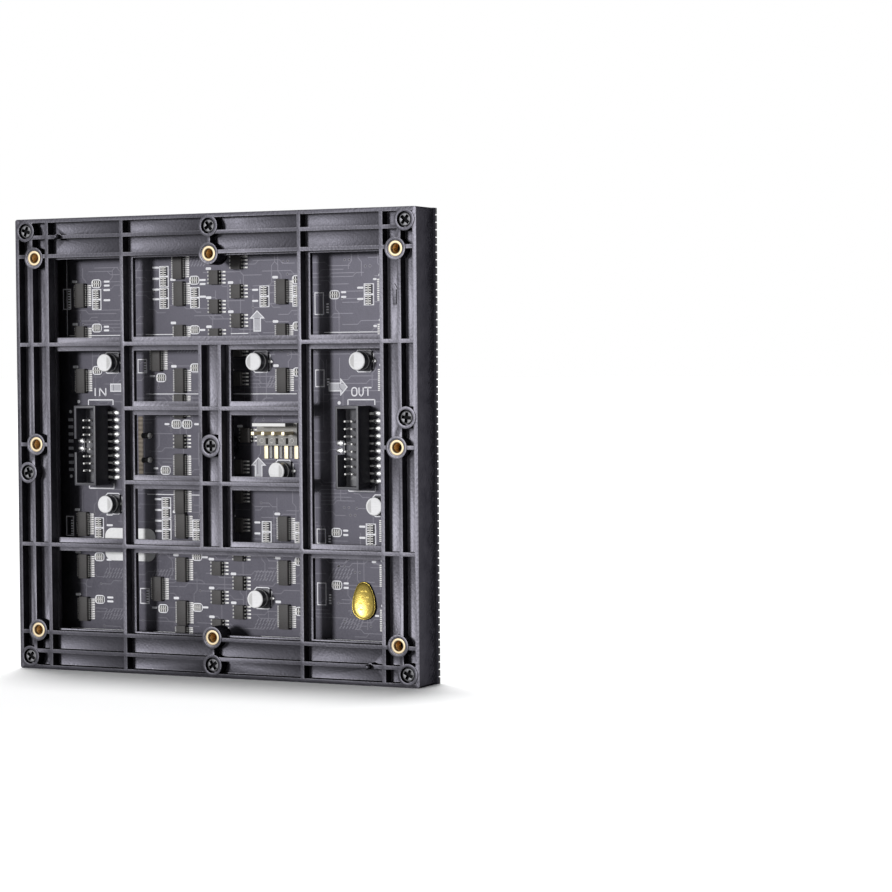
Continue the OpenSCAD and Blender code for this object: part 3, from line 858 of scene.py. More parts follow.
@dataclass
class Finishes:
    """Every finish on the tile, built once."""

    # The frame's edges are lighter, partly as rubbed wear and partly as a painted highlight along the rib
    # tops.
    frame: Material = made(
        "frame_plastic", (0.0435, 0.0425, 0.05), (0.072, 0.07, 0.081), (0.34, 0.44), metallic=0.9,
        specular=0.02, edge_tint=0.2, tone=190.0, grain=1300.0, grain_depth=0.03,
        worn=(0.082, 0.08, 0.089), wear_radius=0.45, dust=0.06, pattern=Pattern.TOOLING,
        pattern_scale=300.0, margin=66.0, margin_colour=(0.025, 0.0245, 0.029))
    board: Material = made(
        "solder_mask", (0.0325, 0.0315, 0.0385), (0.047, 0.0455, 0.0545), (0.38, 0.48), metallic=0.85,
        specular=0.02, edge_tint=0.2, tone=170.0, grain_depth=0.01, dust=0.06, pattern=Pattern.WEAVE,
        pattern_scale=420.0)
    trace: Material = made(
        "masked_trace", (0.059, 0.0575, 0.067), (0.074, 0.072, 0.083), (0.38, 0.46), metallic=0.85,
        specular=0.02, edge_tint=0.2, tone=170.0, grain_depth=0.006)
    ink: Material = made(
        "board_ink", (0.68, 0.68, 0.72), (0.84, 0.84, 0.87), (0.5, 0.7), specular=0.3, tone=300.0,
        grain_depth=0.01)
    pale_ink: Material = made(
        "hatched_ink", (0.34, 0.34, 0.37), (0.5, 0.5, 0.54), (0.5, 0.7), specular=0.3, tone=200.0,
        pattern=Pattern.TOOLING, pattern_scale=420.0, grain_depth=0.01)
    tin: Material = made(
        "tin", (0.6, 0.595, 0.588), (0.78, 0.775, 0.765), (0.66, 0.78), metallic=0.5, specular=0.3,
        tone=400.0, grain_depth=0.006)
    # The leads are the pads' tin, darkened as painted shade.
    lead: Material = made(
        "bent_lead_painted_shade", (0.17, 0.168, 0.165), (0.26, 0.257, 0.253), (0.56, 0.68), metallic=1.0,
        tone=400.0, grain_depth=0.006)
    solder: Material = made(
        "solder", (0.6, 0.6, 0.61), (0.82, 0.82, 0.82), (0.3, 0.5), metallic=1.0, tone=500.0,
        grain=900.0, grain_depth=0.01)
    pin: Material = made(
        "gilt_pin", (0.58, 0.5, 0.33), (0.76, 0.69, 0.53), (0.48, 0.62), metallic=1.0, tone=350.0,
        grain_depth=0.006)
    brass: Material = made(
        "turned_brass", (0.27, 0.215, 0.135), (0.37, 0.31, 0.21), (0.46, 0.55), metallic=1.0,
        tone=260.0, grain_depth=0.008, worn=(0.42, 0.34, 0.22), wear_radius=0.12,
        pattern=Pattern.BRUSHED, pattern_scale=6000.0)
    # Brass of the threads, made more orange than the insert as a painted reflection inside the bore.
    bore: Material = made(
        "bored_brass_painted_reflection", (0.42, 0.22, 0.07), (0.62, 0.36, 0.13), (0.32, 0.46), metallic=1.0, tone=400.0,
        grain_depth=0.006)
    screw: Material = made(
        "black_screw", (0.08, 0.08, 0.085), (0.13, 0.13, 0.137), (0.38, 0.48), metallic=0.5,
        specular=0.02, edge_tint=0.4, tone=300.0, grain_depth=0.006, worn=(0.18, 0.18, 0.187),
        wear_radius=0.2)
    # Near black inside the screws' cross recesses, as painted shade.
    recess_painted_shade: Material = made(
        "screw_recess_painted_shade", (0.003, 0.003, 0.004), (0.008, 0.008, 0.009), (0.6, 0.75), specular=0.05,
        tone=300.0)
    header: Material = made(
        "header_plastic", (0.028, 0.028, 0.035), (0.056, 0.055, 0.067), (0.36, 0.5), specular=0.3,
        tone=120.0, grain_depth=0.012, worn=(0.16, 0.16, 0.18), wear_radius=0.2, dust=0.15)
    # The power housing's white nylon, darkened as painted shade, with its edges lighter as painted
    # highlights.
    nylon_in_painted_shade: Material = made(
        "nylon_painted_shade", (0.2, 0.196, 0.19), (0.3, 0.295, 0.29), (0.44, 0.6), specular=0.2, tone=160.0,
        grain_depth=0.012, worn=(0.86, 0.85, 0.84), wear_radius=0.4, dust=0.1)
    nylon: Material = made(
        "bright_nylon", (0.72, 0.715, 0.71), (0.84, 0.835, 0.83), (0.44, 0.6), specular=0.3,
        tone=160.0, grain_depth=0.012)
    can: Material = made(
        "drawn_aluminium", (0.66, 0.66, 0.67), (0.79, 0.79, 0.8), (0.78, 0.88), metallic=0.4,
        tone=120.0, grain_depth=0.004, pattern=Pattern.BRUSHED, pattern_scale=2600.0)
    # The cans' sides: the same aluminium, darkened as a painted reflection of the dark frame.
    can_side_painted_dark: Material = made(
        "drawn_side_painted_reflection", (0.1, 0.1, 0.105), (0.17, 0.17, 0.176), (0.34, 0.46), metallic=1.0, tone=120.0,
        grain_depth=0.004, pattern=Pattern.BRUSHED, pattern_scale=2600.0)
    can_mark: Material = made(
        "polarity_ink", (0.48, 0.477, 0.48), (0.6, 0.597, 0.6), (0.5, 0.65), specular=0.2, tone=250.0)
    chip: Material = made(
        "chip_epoxy", (0.025, 0.0235, 0.0235), (0.054, 0.05, 0.05), (0.5, 0.62), specular=0.3,
        tone=210.0, grain=5200.0, grain_depth=0.012, worn=(0.1, 0.097, 0.096), wear_radius=0.12,
        dust=0.12)
    glaze: Material = made(
        "dark_glaze", (0.02, 0.019, 0.021), (0.045, 0.043, 0.046), (0.45, 0.6), specular=0.2,
        tone=300.0)
    ceramic: Material = made(
        "ceramic", (0.36, 0.352, 0.345), (0.52, 0.51, 0.5), (0.5, 0.7), specular=0.2, tone=300.0)
    bus: Material = made(
        "tinned_bus", (0.05, 0.04, 0.03), (0.17, 0.145, 0.12), (0.5, 0.66), metallic=0.2, specular=0.2,
        tone=300.0, pattern=Pattern.STRIPED, pattern_scale=200.0, grain_depth=0.02)
    foil: Material = made(
        "gold_foil", (0.2, 0.148, 0.032), (0.27, 0.208, 0.055), (0.24, 0.32), metallic=1.0, tone=160.0,
        pattern=Pattern.CRINKLED, pattern_scale=420.0, grain_depth=0.02)
    paper: Material = made(
        "label_paper", (0.72, 0.72, 0.73), (0.84, 0.84, 0.85), (0.55, 0.75), specular=0.3, tone=120.0,
        grain=4200.0, grain_depth=0.008)
    led_body: Material = made(
        "led_housing", (0.009, 0.008, 0.0085), (0.018, 0.0165, 0.017), (0.5, 0.62), specular=0.1,
        tone=140.0, grain=5200.0, grain_depth=0.006, dust=0.12)
    # Sides of the black LED housings, lightened as painted light.
    led_side_painted_light: Material = made(
        "led_housing_side_painted_light", (0.13, 0.127, 0.13), (0.21, 0.206, 0.21), (0.5, 0.65), specular=0.2,
        tone=240.0)
    led_lens: Material = made(
        "led_lens", (0.76, 0.745, 0.74), (0.88, 0.865, 0.86), (0.16, 0.3), specular=0.5, tone=420.0,
        coat=0.4, grain=1500.0, grain_depth=0.004)


# Studio


def shows_backdrop(tree: Tree) -> Socket:
    """Give 1 for the rays that show the surroundings, to the camera or in gloss and glass.

    Args:
        tree: tree of the floor's material or of the world.

    Returns:
        The mask.
    """
    path = tree.node("LightPath").outputs
    seen = tree.math("MAXIMUM", path["Is Camera Ray"], path["Is Glossy Ray"])
    return tree.math("MAXIMUM", seen, path["Is Transmission Ray"])


@dataclass(frozen=True)
class Lamp:
    """One distant soft lamp: the board direction towards it, its strength and its size in degrees."""

    name: str
    towards: Triple
    power: float
    spread: float

    def build(self) -> None:
        """Make the lamp."""
        lamp = bpy.data.lights.new(self.name, "SUN")
        lamp.energy = self.power
        lamp.angle = math.radians(self.spread)
        holder = bpy.data.objects.new(self.name, lamp)
        holder.rotation_mode = "QUATERNION"
        holder.rotation_quaternion = BENCH.direction(*self.towards).to_track_quat("Z", "Y")
        bpy.context.scene.collection.objects.link(holder)


@dataclass
class Studio:
    """White floor and surroundings, and soft lamps."""

    floor_half: float = 12.0
    floor_drop: float = 0.00005
    floor_colour: float = 1.0
    floor_bounce: float = 0.12
    ambient: float = 0.3
    ambient_tint: Triple = (0.97, 0.98, 1.0)
    lamps: tuple[Lamp, ...] = (
        Lamp("key_lamp", (-0.33, 0.12, 1.0), 2.65, 11.0), Lamp("back_lamp", (-0.3, 1.6, -0.3), 2.1, 18.0),
        Lamp("front_lamp", (-0.25, 0.8, -1.0), 1.3, 30.0))

    def build(self) -> None:
        """Make the floor, the world and the lamps."""
        self.build_floor()
        self.build_world()
        for lamp in self.lamps:
            lamp.build()
        bpy.context.scene.view_settings.view_transform = "Standard"

    def build_floor(self) -> None:
        """Make the floor, which is white to the camera and keeps the tile's shadow."""
        half = self.floor_half
        mesh = bpy.data.meshes.new("floor")
        corners = [(-half, -half), (half, -half), (half, half), (-half, half)]
        mesh.from_pydata([(x, y, -self.floor_drop) for x, y in corners], [], [(0, 1, 2, 3)])
        material = bpy.data.materials.new("pale_floor")
        material.use_nodes = True
        tree = Tree(material.node_tree)
        shader = material.node_tree.nodes["Principled BSDF"]
        shader.inputs["Specular IOR Level"].default_value = 0.0
        shader.inputs["Roughness"].default_value = 1.0
        colour = tree.ramp(shows_backdrop(tree), 0.0, 1.0, self.floor_bounce, self.floor_colour)
        tree.feed(shader.inputs["Base Color"], colour)
        mesh.materials.append(material)
        floor = bpy.data.objects.new("floor", mesh)
        bpy.context.scene.collection.objects.link(floor)

    def build_world(self) -> None:
        """Make surroundings that look white and light the tile only a little."""
        world = bpy.data.worlds.new("studio")
        bpy.context.scene.world = world
        world.use_nodes = True
        tree = Tree(world.node_tree)
        seen = shows_backdrop(tree)
        white = tree.node("Background", {"Color": (1.0, 1.0, 1.0, 1.0), "Strength": 1.0})
        dim = tree.node("Background", {"Color": (*self.ambient_tint, 1.0), "Strength": self.ambient})
        both = tree.node("MixShader", {0: seen, 1: dim.outputs[0], 2: white.outputs[0]})
        tree.feed(world.node_tree.nodes["World Output"].inputs[0], both.outputs[0])


@dataclass
class PhotoCamera:
    """The photograph's camera: focal length in its pixels, turn and place of the rib plane's middle."""

    image_px: float = 892.0
    focal_px: float = 2712.9
    turn_deg: Triple = (1.931, 26.233, 0.005)
    offset: Triple = (-80.92, 0.004, 931.42)
    sensor: float = 36.0
    clip: Pair = (0.01, 100.0)

    def build(self) -> None:
        """Make the camera and give it to the scene."""
        turn = Vector(self.turn_deg)
        rotation = Matrix.Rotation(math.radians(turn.length), 3, turn.normalized())
        rib_top = (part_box("insert_nuts")[1].y / MM) - BENCH.face_y
        seat = -(rotation.transposed() @ Vector(self.offset))
        eye = BENCH.point(seat.x, -seat.y, rib_top - seat.z)
        right, down, ahead = (BENCH.direction(row.x, -row.y, -row.z) for row in rotation)
        data = bpy.data.cameras.new("photo_camera")
        data.sensor_width = self.sensor
        data.lens = self.focal_px / self.image_px * self.sensor
        data.clip_start, data.clip_end = self.clip
        camera = bpy.data.objects.new("photo_camera", data)
        facing = Matrix((right, -down, -ahead)).transposed().to_4x4()
        camera.matrix_world = Matrix.Translation(eye) @ facing
        bpy.context.scene.collection.objects.link(camera)
        bpy.context.scene.camera = camera


# Sub-assemblies


@dataclass
class RearFrame:
    """The moulded rear frame, its screws and its threaded inserts."""

    edge_r: float = 0.14
    screw_edge_r: float = 0.03
    recess_r: float = 1.85
    recess_depth: float = 1.3
    recess_from: float = 0.1
    screw_turns: tuple[float, ...] = (12.0, 63.0, 28.0, -9.0, 47.0, 80.0, 20.0, 38.0, 5.0)
    brass_edge_r: float = 0.1
    thread_pitch: float = 0.7
    thread_depth: float = 0.22
    thread_steps: int = 28
    thread_root: float = 0.02
    thread_flank: float = 0.4
    thread_sharp: float = 50.0

    def build(self, looks: Finishes) -> None:
        """Make the frame and its fasteners.

        Args:
            looks: the finishes.
        """
        show_softened("frame", "rear_frame", self.edge_r, looks.frame)
        self.build_screws(looks)
        show_softened("insert_nuts", "threaded_inserts", self.brass_edge_r, looks.brass)
        self.build_threads(looks)
        dress("board_nuts", looks.tin)

    def build_screws(self, looks: Finishes) -> None:
        """Make the screws, each stopped at another angle.

        Args:
            looks: the finishes.
        """
        mesh = softened("frame_screws", "cross_recess_screws", self.screw_edge_r)
        places = [Vector(BENCH.point(*middle_of(points))) for points in solids_of("frame_screws")]
        turns = [Matrix.Rotation(math.radians(turn), 3, "Y") for turn in self.screw_turns]
        for vertex in mesh.vertices:
            nearest = min(range(len(places)), key=lambda i: (vertex.co.xz - places[i].xz).length_squared)
            axis = Vector((places[nearest].x, vertex.co.y, places[nearest].z))
            vertex.co = axis + turns[nearest] @ (vertex.co - axis)
        top = max(vertex.co.y for vertex in mesh.vertices)
        deep, shallow = top - self.recess_depth * MM, top - self.recess_from * MM
        # Faces inside each cross recess take the near-black finish as painted shade.
        for polygon in mesh.polygons:
            beside = min((polygon.center.xz - place.xz).length for place in places)
            inside = beside < self.recess_r * MM and deep < polygon.center.y < shallow
            polygon.material_index = int(inside)
        show(mesh, [looks.screw, looks.recess_painted_shade], ["frame_screws"])

    def build_threads(self, looks: Finishes) -> None:
        """Make the thread inside every insert as a ridge along a helix.

        Args:
            looks: the finishes.
        """
        shape = Shape()
        for points in solids_of("insert_nuts"):
            u, v, _ = middle_of(points)
            low, high = points[:, 2].min(), points[:, 2].max()
            bore = np.hypot(points[:, 0] - u, points[:, 1] - v).min()
            self.add_thread(shape, (u, v), bore, low + self.thread_pitch, high - 2 * self.thread_pitch)
        # The threads take the more orange brass as a painted reflection.
        show_shape(shape, "insert_threads", [looks.bore], sharp=self.thread_sharp)

    def add_thread(self, shape: Shape, at: Pair, bore: float, low: float, high: float) -> None:
        """Add one helical ridge of triangular section.

        Args:
            shape: the shape that it joins.
            at: the axis.
            bore: radius of the hole that it lines.
            low: w of its lower end.
            high: w of its upper end.
        """
        count = int((high - low) / self.thread_pitch * self.thread_steps)
        root, flank = self.thread_root, self.thread_flank
        points: list[Triple] = []
        for step in range(count + 1):
            turn = 2 * math.pi * step / self.thread_steps
            w = low + self.thread_pitch * step / self.thread_steps
            for reach, lift in ((root, -flank), (-self.thread_depth, 0.0), (root, flank)):
                radius = bore + reach
                points.append((at[0] + radius * math.cos(turn), at[1] + radius * math.sin(turn),
                               w + lift * self.thread_pitch))
        faces: list[list[int]] = [[0, 1, 2], [3 * count + 2, 3 * count + 1, 3 * count]]
        for step in range(count):
            a, b = 3 * step, 3 * step + 3
            faces += [[a, b, b + 1, a + 1], [a + 1, b + 1, b + 2, a + 2], [a + 2, b + 2, b, a]]
        shape.add(points, faces)


@dataclass
class LedMatrix:
    """The pixels on the front: black housings with a round well and a milky lens."""

    chamfer: float = 0.07
    well_r: float = 0.74
    well_depth: float = 0.22
    lens_crown: float = 0.1
    rim_steps: int = 12
    pixel_pitch: float = 2.5
    sharp_deg: float = 25.0

    def template(self, half: float, base: float, front: float) -> PixelTemplate:
        """Make one housing and its lens about the origin.

        Args:
            half: half the side of the housing.
            base: w of the face on the board.
            front: w of the front face.

        Returns:
            Corner points, faces and the faces' material slots.
        """
        signs = [(1, 1), (-1, 1), (-1, -1), (1, -1)]
        inner = half - self.chamfer
        floor = front + self.well_depth
        points = [(su * half, sv * half, base) for su, sv in signs]
        points += [(su * half, sv * half, front + self.chamfer) for su, sv in signs]
        points += [(su * inner, sv * inner, front) for su, sv in signs]
        points += [(u, v, front) for u, v in circle((0.0, 0.0), self.well_r, self.rim_steps)]
        points += [(u, v, floor) for u, v in circle((0.0, 0.0), self.well_r, self.rim_steps)]
        points.append((0.0, 0.0, floor - self.lens_crown))
        face, rim = 8, 12
        well, crown = rim + self.rim_steps, rim + 2 * self.rim_steps
        sides = [[(i + 1) % 4, i, 4 + i, 4 + (i + 1) % 4] for i in range(4)]
        faces: list[list[int]] = [[0, 1, 2, 3]] + sides
        for i in range(4):
            j = (i + 1) % 4
            faces.append([4 + j, 4 + i, face + i, face + j])
        quarter = self.rim_steps // 4
        for corner in range(4):
            first = corner * quarter
            for step in range(first, first + quarter):
                faces.append([face + corner, rim + step, rim + (step + 1) % self.rim_steps])
            last = rim + (first + quarter) % self.rim_steps
            faces.append([face + corner, last, face + (corner + 1) % 4])
        for i in range(self.rim_steps):
            j = (i + 1) % self.rim_steps
            faces.append([rim + i, well + i, well + j, rim + j])
        # The sides of each housing take the lighter copy of its plastic as painted light.
        slots = [2 if one in sides else 0 for one in faces]
        lens = [[well + (i + 1) % self.rim_steps, well + i, crown] for i in range(self.rim_steps)]
        return np.array(points), [one[::-1] for one in faces + lens], slots + [1] * len(lens)

    def build(self, looks: Finishes) -> None:
        """Fill the front with pixels, one piece for each quarter of the tile.

        Args:
            looks: the finishes.
        """
        rows = solids_of("led_rows")
        corner = np.min([row.min(0) for row in rows], axis=0)
        reach = np.max([row.max(0) for row in rows], axis=0)
        side = rows[0][:, 1].max() - rows[0][:, 1].min()
        pixel = self.template(side / 2, reach[2], corner[2])
        count = len(rows)
        places = corner[1] + side / 2 + np.arange(count) * self.pixel_pitch
        halves = {"left": places[: count // 2], "right": places[count // 2:]}
        heights = {"lower": places[: count // 2], "upper": places[count // 2:]}
        for height, vs in heights.items():
            for half, us in halves.items():
                self.build_quarter(f"pixels_{height}_{half}", us, vs, pixel, looks)

    def build_quarter(self, name: str, us: np.ndarray, vs: np.ndarray,
                      template: PixelTemplate, looks: Finishes) -> None:
        """Make one quarter of the pixels.

        Args:
            name: name of the piece.
            us: u of its columns.
            vs: v of its rows.
            template: points, faces and slots of one pixel.
            looks: the finishes.
        """
        points, faces, slots = template
        shape = Shape()
        for v in vs:
            for u in us:
                first = len(shape.points)
                shape.points.extend((points + (u, v, 0.0)).tolist())
                shape.faces.extend([[first + index for index in face] for face in faces])
                shape.slots.extend(slots)
        show_shape(shape, name, [looks.led_body, looks.led_lens, looks.led_side_painted_light], ["led_rows"],
                   self.sharp_deg)


@dataclass
class ChipSet:
    """Chips with their leads, solder pads, pin marks and resistor arrays."""

    edge_r: float = 0.07
    pad_left: float = 0.05
    pad_right: float = 0.9
    edge_column_from: float = 55.0
    edge_pad: float = 1.3
    pad_margin: float = 0.05
    pad_t: float = 0.04
    fillet: float = 0.34
    slope_t: float = 0.06
    heel_t: float = 0.08
    dimple_r: float = 0.42
    dimple_stroke: float = 0.1
    dimple_lift: float = 0.02
    dimple_inset: float = 0.95
    terminals: int = 4
    terminal_share: float = 0.38
    terminal_reach: float = 0.3
    terminal_lap: float = 0.34
    terminal_rise: float = 0.03
    gap_shade_t: float = 0.06
    lying_grow: float = 0.35
    chip_nodes: tuple[str, ...] = ("driver_chips_1", "driver_chips_2", "driver_chips_3", "driver_chips_4",
                                   "row_switches_left", "row_switches_right", "logic_chips")
    lead_nodes: tuple[str, ...] = ("driver_leads", "switch_leads", "logic_leads")

    def build(self, looks: Finishes) -> None:
        """Make every chip and the small parts beside them.

        Args:
            looks: the finishes.
        """
        for node in self.chip_nodes:
            show_softened(node, f"epoxy_{node}", self.edge_r, looks.chip)
        self.build_dimples(looks)
        # The leads take the darkened tin as painted shade.
        for node in self.lead_nodes:
            dress(node, looks.lead)
        self.build_joints(looks)
        self.build_arrays(looks)

    def build_dimples(self, looks: Finishes) -> None:
        """Make the round mark at the first pin of every chip.

        Args:
            looks: the finishes.
        """
        shape = Shape()
        for node in self.chip_nodes:
            for points in solids_of(node):
                u = points[:, 0].min() + self.dimple_inset
                v = points[:, 1].max() - self.dimple_inset
                top = points[:, 2].max()
                outer = circle((u, v), self.dimple_r)
                inner = inset(outer, self.dimple_stroke)
                shape.ring(outer, inner, top - self.dimple_lift, top + self.dimple_lift)
        show_shape(shape, "first_pin_marks", [looks.chip], sharp=SHARP_DEG)

    def build_joints(self, looks: Finishes) -> None:
        """Make the pad and the solder fillet at every lead's foot.

        Args:
            looks: the finishes.
        """
        shape = Shape()
        for node in self.lead_nodes:
            for points in solids_of(node):
                foot = points[points[:, 2] < self.pad_t]
                shoulder = points[points[:, 2] > points[:, 2].max() / 2]
                out = math.copysign(1.0, foot[:, 0].mean() - shoulder[:, 0].mean())
                tip = foot[:, 0].max() if out > 0 else foot[:, 0].min()
                heel = foot[:, 0].min() if out > 0 else foot[:, 0].max()
                lead_t = points[:, 2].max() - shoulder[:, 2].min()
                at_edge = tip > self.edge_column_from
                reach = self.pad_right if out > 0 else self.edge_pad if at_edge else self.pad_left
                end, slope = tip + out * reach, tip + out * min(self.fillet, reach / 2)
                section = [(heel - out * self.fillet, 0.0), (end, 0.0), (end, self.pad_t),
                           (slope, self.slope_t), (tip, lead_t), (heel, self.heel_t)]
                low, high = points[:, 1].min() - self.pad_margin, points[:, 1].max() + self.pad_margin
                shape.along_v(section if out > 0 else section[::-1], low, high)
        show_shape(shape, "lead_joints", [looks.tin], sharp=SHARP_DEG)

    def build_arrays(self, looks: Finishes) -> None:
        """Make the resistor arrays, standing or lying: a pale body between bright ends, on a dark sheet that
        paints shade into the gaps between the ends.

        Args:
            looks: the finishes.
        """
        bodies, ends = Shape(), Shape()
        for points in solids_of("resistor_arrays"):
            u0, v0, w0 = points.min(0)
            u1, v1, w1 = points.max(0)
            lies = u1 - u0 > v1 - v0
            first, last, low, high = (u0, u1, v0, v1) if lies else (v0, v1, u0, u1)
            if lies:
                more, wider = (last - first) * self.lying_grow / 2, (high - low) * self.lying_grow / 2
                first, last, low, high = first - more, last + more, low - wider, high + wider
            lap = self.terminal_lap * (high - low)
            rim = self.terminal_reach + lap
            lid = (first, last, low + lap, high - lap)
            # A dark sheet under the body paints shade into the gaps between the terminals.
            gap_shade = (first, last, low - self.terminal_reach, high + self.terminal_reach)
            for span, bottom, top, slot in ((gap_shade, w0, w0 + self.gap_shade_t, 0), (lid, w0, w1, 1)):
                bodies.box(span if lies else (*span[2:], *span[:2]), bottom, top, slot)
            pitch = (last - first) / self.terminals
            half = pitch * self.terminal_share / 2
            for i in range(self.terminals):
                place = first + (i + 0.5) * pitch
                for near in (low - self.terminal_reach, high + self.terminal_reach - rim):
                    far = near + rim
                    span = (place - half, place + half, near, far)
                    ends.box(span if lies else (near, far, *span[:2]), 0.0, w1 + self.terminal_rise)
        show_shape(bodies, "array_bodies", [looks.glaze, looks.ceramic], ["resistor_arrays"])
        show_shape(ends, "array_terminals", [looks.tin])


@dataclass
class Connectors:
    """The two data headers and the power header."""

    shroud_edge_r: float = 0.14
    pin_edge_r: float = 0.12
    joint_radii: Triple = (1.8, 1.0, 0.78)
    joint_back: float = 1.4
    housing_edge_r: float = 0.16
    dish_r: float = 0.85
    dish_stroke: float = 0.2
    dish_from_pin: float = -2.6
    web: Span = (-0.42, 0.42, -8.7, -4.2)
    web_t: float = 0.55
    web_r: float = 0.3
    rim_depth: float = 0.1
    wall_step: float = 0.5
    tip_depth: float = 0.1
    dish_sink: float = 0.02
    dish_rise: float = 0.08

    def build(self, looks: Finishes) -> None:
        """Make the three headers.

        Args:
            looks: the finishes.
        """
        for way in ("in", "out"):
            self.build_data(way, looks)
        self.build_power(looks)

    def build_data(self, way: str, looks: Finishes) -> None:
        """Make one data header with its pins and solder joints.

        Args:
            way: in or out.
            looks: the finishes.
        """
        shroud, pins = f"data_{way}_shroud", f"data_{way}_pins"
        show_softened(shroud, f"keyed_box_{way}", self.shroud_edge_r, looks.header)
        show_softened(pins, f"header_pins_{way}", self.pin_edge_r, looks.tin, segments=1)
        low, high = (BENCH.from_metres(np.array([corner]))[0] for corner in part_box(shroud))
        middle = (low[0] + high[0]) / 2
        shape = Shape()
        for points in solids_of(pins):
            u, v, _ = middle_of(points)
            out = math.copysign(1.0, u - middle)
            tip = points[:, 0].max() if out > 0 else points[:, 0].min()
            shape.blob((tip - out * self.joint_back, v, 0.0), self.joint_radii)
        show_shape(shape, f"header_joints_{way}", [looks.solder], sharp=SHARP_DEG)

    def build_power(self, looks: Finishes) -> None:
        """Make the power header: housing, pins, the webs between them and round marks on its base.

        Args:
            looks: the finishes.
        """
        mesh = softened("power_housing", "power_socket", self.housing_edge_r)
        # The top faces keep the white nylon; the other faces take its darker copy as painted shade.
        rim = max(vertex.co.y for vertex in mesh.vertices) - self.rim_depth * MM
        for polygon in mesh.polygons:
            polygon.material_index = int(polygon.center.y > rim)
        show(mesh, [looks.nylon_in_painted_shade, looks.nylon], ["power_housing"])
        show_softened("power_pins", "power_prongs", self.pin_edge_r, looks.pin)
        marks = Shape()
        rows = []
        housing = solids_of("power_housing")[0]
        levels = np.unique(np.round(housing[:, 2], 2))
        base_top = float(levels[levels < levels.max() - self.wall_step].max())
        for points in solids_of("power_pins"):
            top = points[points[:, 2] > points[:, 2].max() - self.tip_depth]
            u, v, _ = middle_of(top)
            outer = circle((u, v + self.dish_from_pin), self.dish_r)
            marks.ring(outer, inset(outer, self.dish_stroke), base_top - self.dish_sink,
                       base_top + self.dish_rise)
            rows.append((u, v))
        rows.sort()
        u0, u1, v0, v1 = self.web
        for (left, v), (right, _) in zip(rows, rows[1:]):
            middle = (left + right) / 2
            web = (middle + u0, middle + u1, v + v0, v + v1)
            marks.prism(rounded(web, self.web_r), 0.0, self.web_t)
        # The webs and round marks take the nylon's darker copy as painted shade.
        show_shape(marks, "power_socket_marks", [looks.nylon_in_painted_shade], sharp=SHARP_DEG)


@dataclass
class Capacitors:
    """Aluminium cans on moulded plinths, with a darker mark on the negative side."""

    marks: tuple[Side, ...] = (Side.RIGHT, Side.LEFT, Side.LEFT, Side.RIGHT, Side.RIGHT, Side.LEFT,
                               Side.LEFT)
    mark_from_middle: float = 0.42
    mark_t: float = 0.015
    mark_steps: int = 16
    plinth_edge_r: float = 0.12
    crimp: float = 0.32
    crimp_from_base: float = 1.25
    crimp_half: float = 0.42
    top_r: float = 0.55
    top_from: float = 0.6
    top_lip: float = 0.12
    top_sink: float = 0.03
    arc_steps: int = 6
    can_steps: int = 64
    sharp_deg: float = 40.0
    foot_r: float = 0.25
    joint_radii: Triple = (0.8, 0.62, 0.4)
    joint_from_middle: float = 4.1

    def profile(self, radius: float, low: float, high: float) -> list[Pair]:
        """Give the can's section from axis to axis.

        Args:
            radius: radius of the can.
            low: w of its foot.
            high: w of its top.

        Returns:
            Radius and w pairs.
        """
        line = [(0.0, low), (radius - self.foot_r, low), (radius, low + self.foot_r)]
        crimp_w = low + self.crimp_from_base
        for step in range(-self.arc_steps, self.arc_steps + 1):
            share = step / self.arc_steps
            dent = self.crimp * (0.5 + 0.5 * math.cos(math.pi * share))
            line.append((radius - dent, crimp_w + share * self.crimp_half))
        for step in range(self.arc_steps + 1):
            angle = step / self.arc_steps * math.pi / 2
            line.append((radius - self.top_r * (1 - math.cos(angle)),
                         high - self.top_r * (1 - math.sin(angle))))
        flat = high - self.top_sink
        return line + [(radius - self.top_r - self.top_lip, flat), (0.0, flat)]

    def build(self, looks: Finishes) -> None:
        """Make all seven capacitors.

        Args:
            looks: the finishes.
        """
        marks, joints = Shape(), Shape()
        for index, side in enumerate(self.marks, start=1):
            node = f"capacitor_{index}_can"
            points = solids_of(node)[0]
            u, v, _ = middle_of(points)
            low, high = points[:, 2].min(), points[:, 2].max()
            radius = (points[:, 0].max() - points[:, 0].min()) / 2
            shape = Shape()
            shape.lathe(self.profile(radius, low, high), (u, v), self.can_steps)
            mesh = shape.to_mesh(f"can_{index}")
            smooth(mesh, self.sharp_deg)
            # Faces that don't face the rear take the dark copy of the aluminium as a painted reflection.
            for polygon in mesh.polygons:
                polygon.material_index = int(polygon.normal.y < self.top_from)
            show(mesh, [looks.can, looks.can_side_painted_dark], [node])
            base = f"capacitor_{index}_base"
            show_softened(base, f"plinth_{index}", self.plinth_edge_r, looks.header)
            self.add_mark(marks, (u, v), radius - self.top_r - self.top_lip, high - self.top_sink, side)
            for reach in (-self.joint_from_middle, self.joint_from_middle):
                joints.blob((u + reach, v, 0.0), self.joint_radii)
        show_shape(marks, "polarity_marks", [looks.can_mark])
        dress("capacitor_tabs", looks.tin)
        show_shape(joints, "capacitor_joints", [looks.solder], sharp=SHARP_DEG)

    def add_mark(self, shape: Shape, at: Pair, radius: float, top: float, side: Side) -> None:
        """Add the darker segment of a can's top.

        Args:
            shape: the shape that it joins.
            at: the can's axis.
            radius: radius of the flat top.
            top: w of the flat top.
            side: the side that it is on.
        """
        half = math.acos(self.mark_from_middle)
        turns = [half * (2 * step / self.mark_steps - 1) for step in range(self.mark_steps + 1)]
        start = 0.0 if side is Side.RIGHT else math.pi
        outline = [(at[0] + radius * math.cos(start + turn), at[1] + radius * math.sin(start + turn))
                   for turn in turns]
        shape.prism(outline, top, top + self.mark_t)


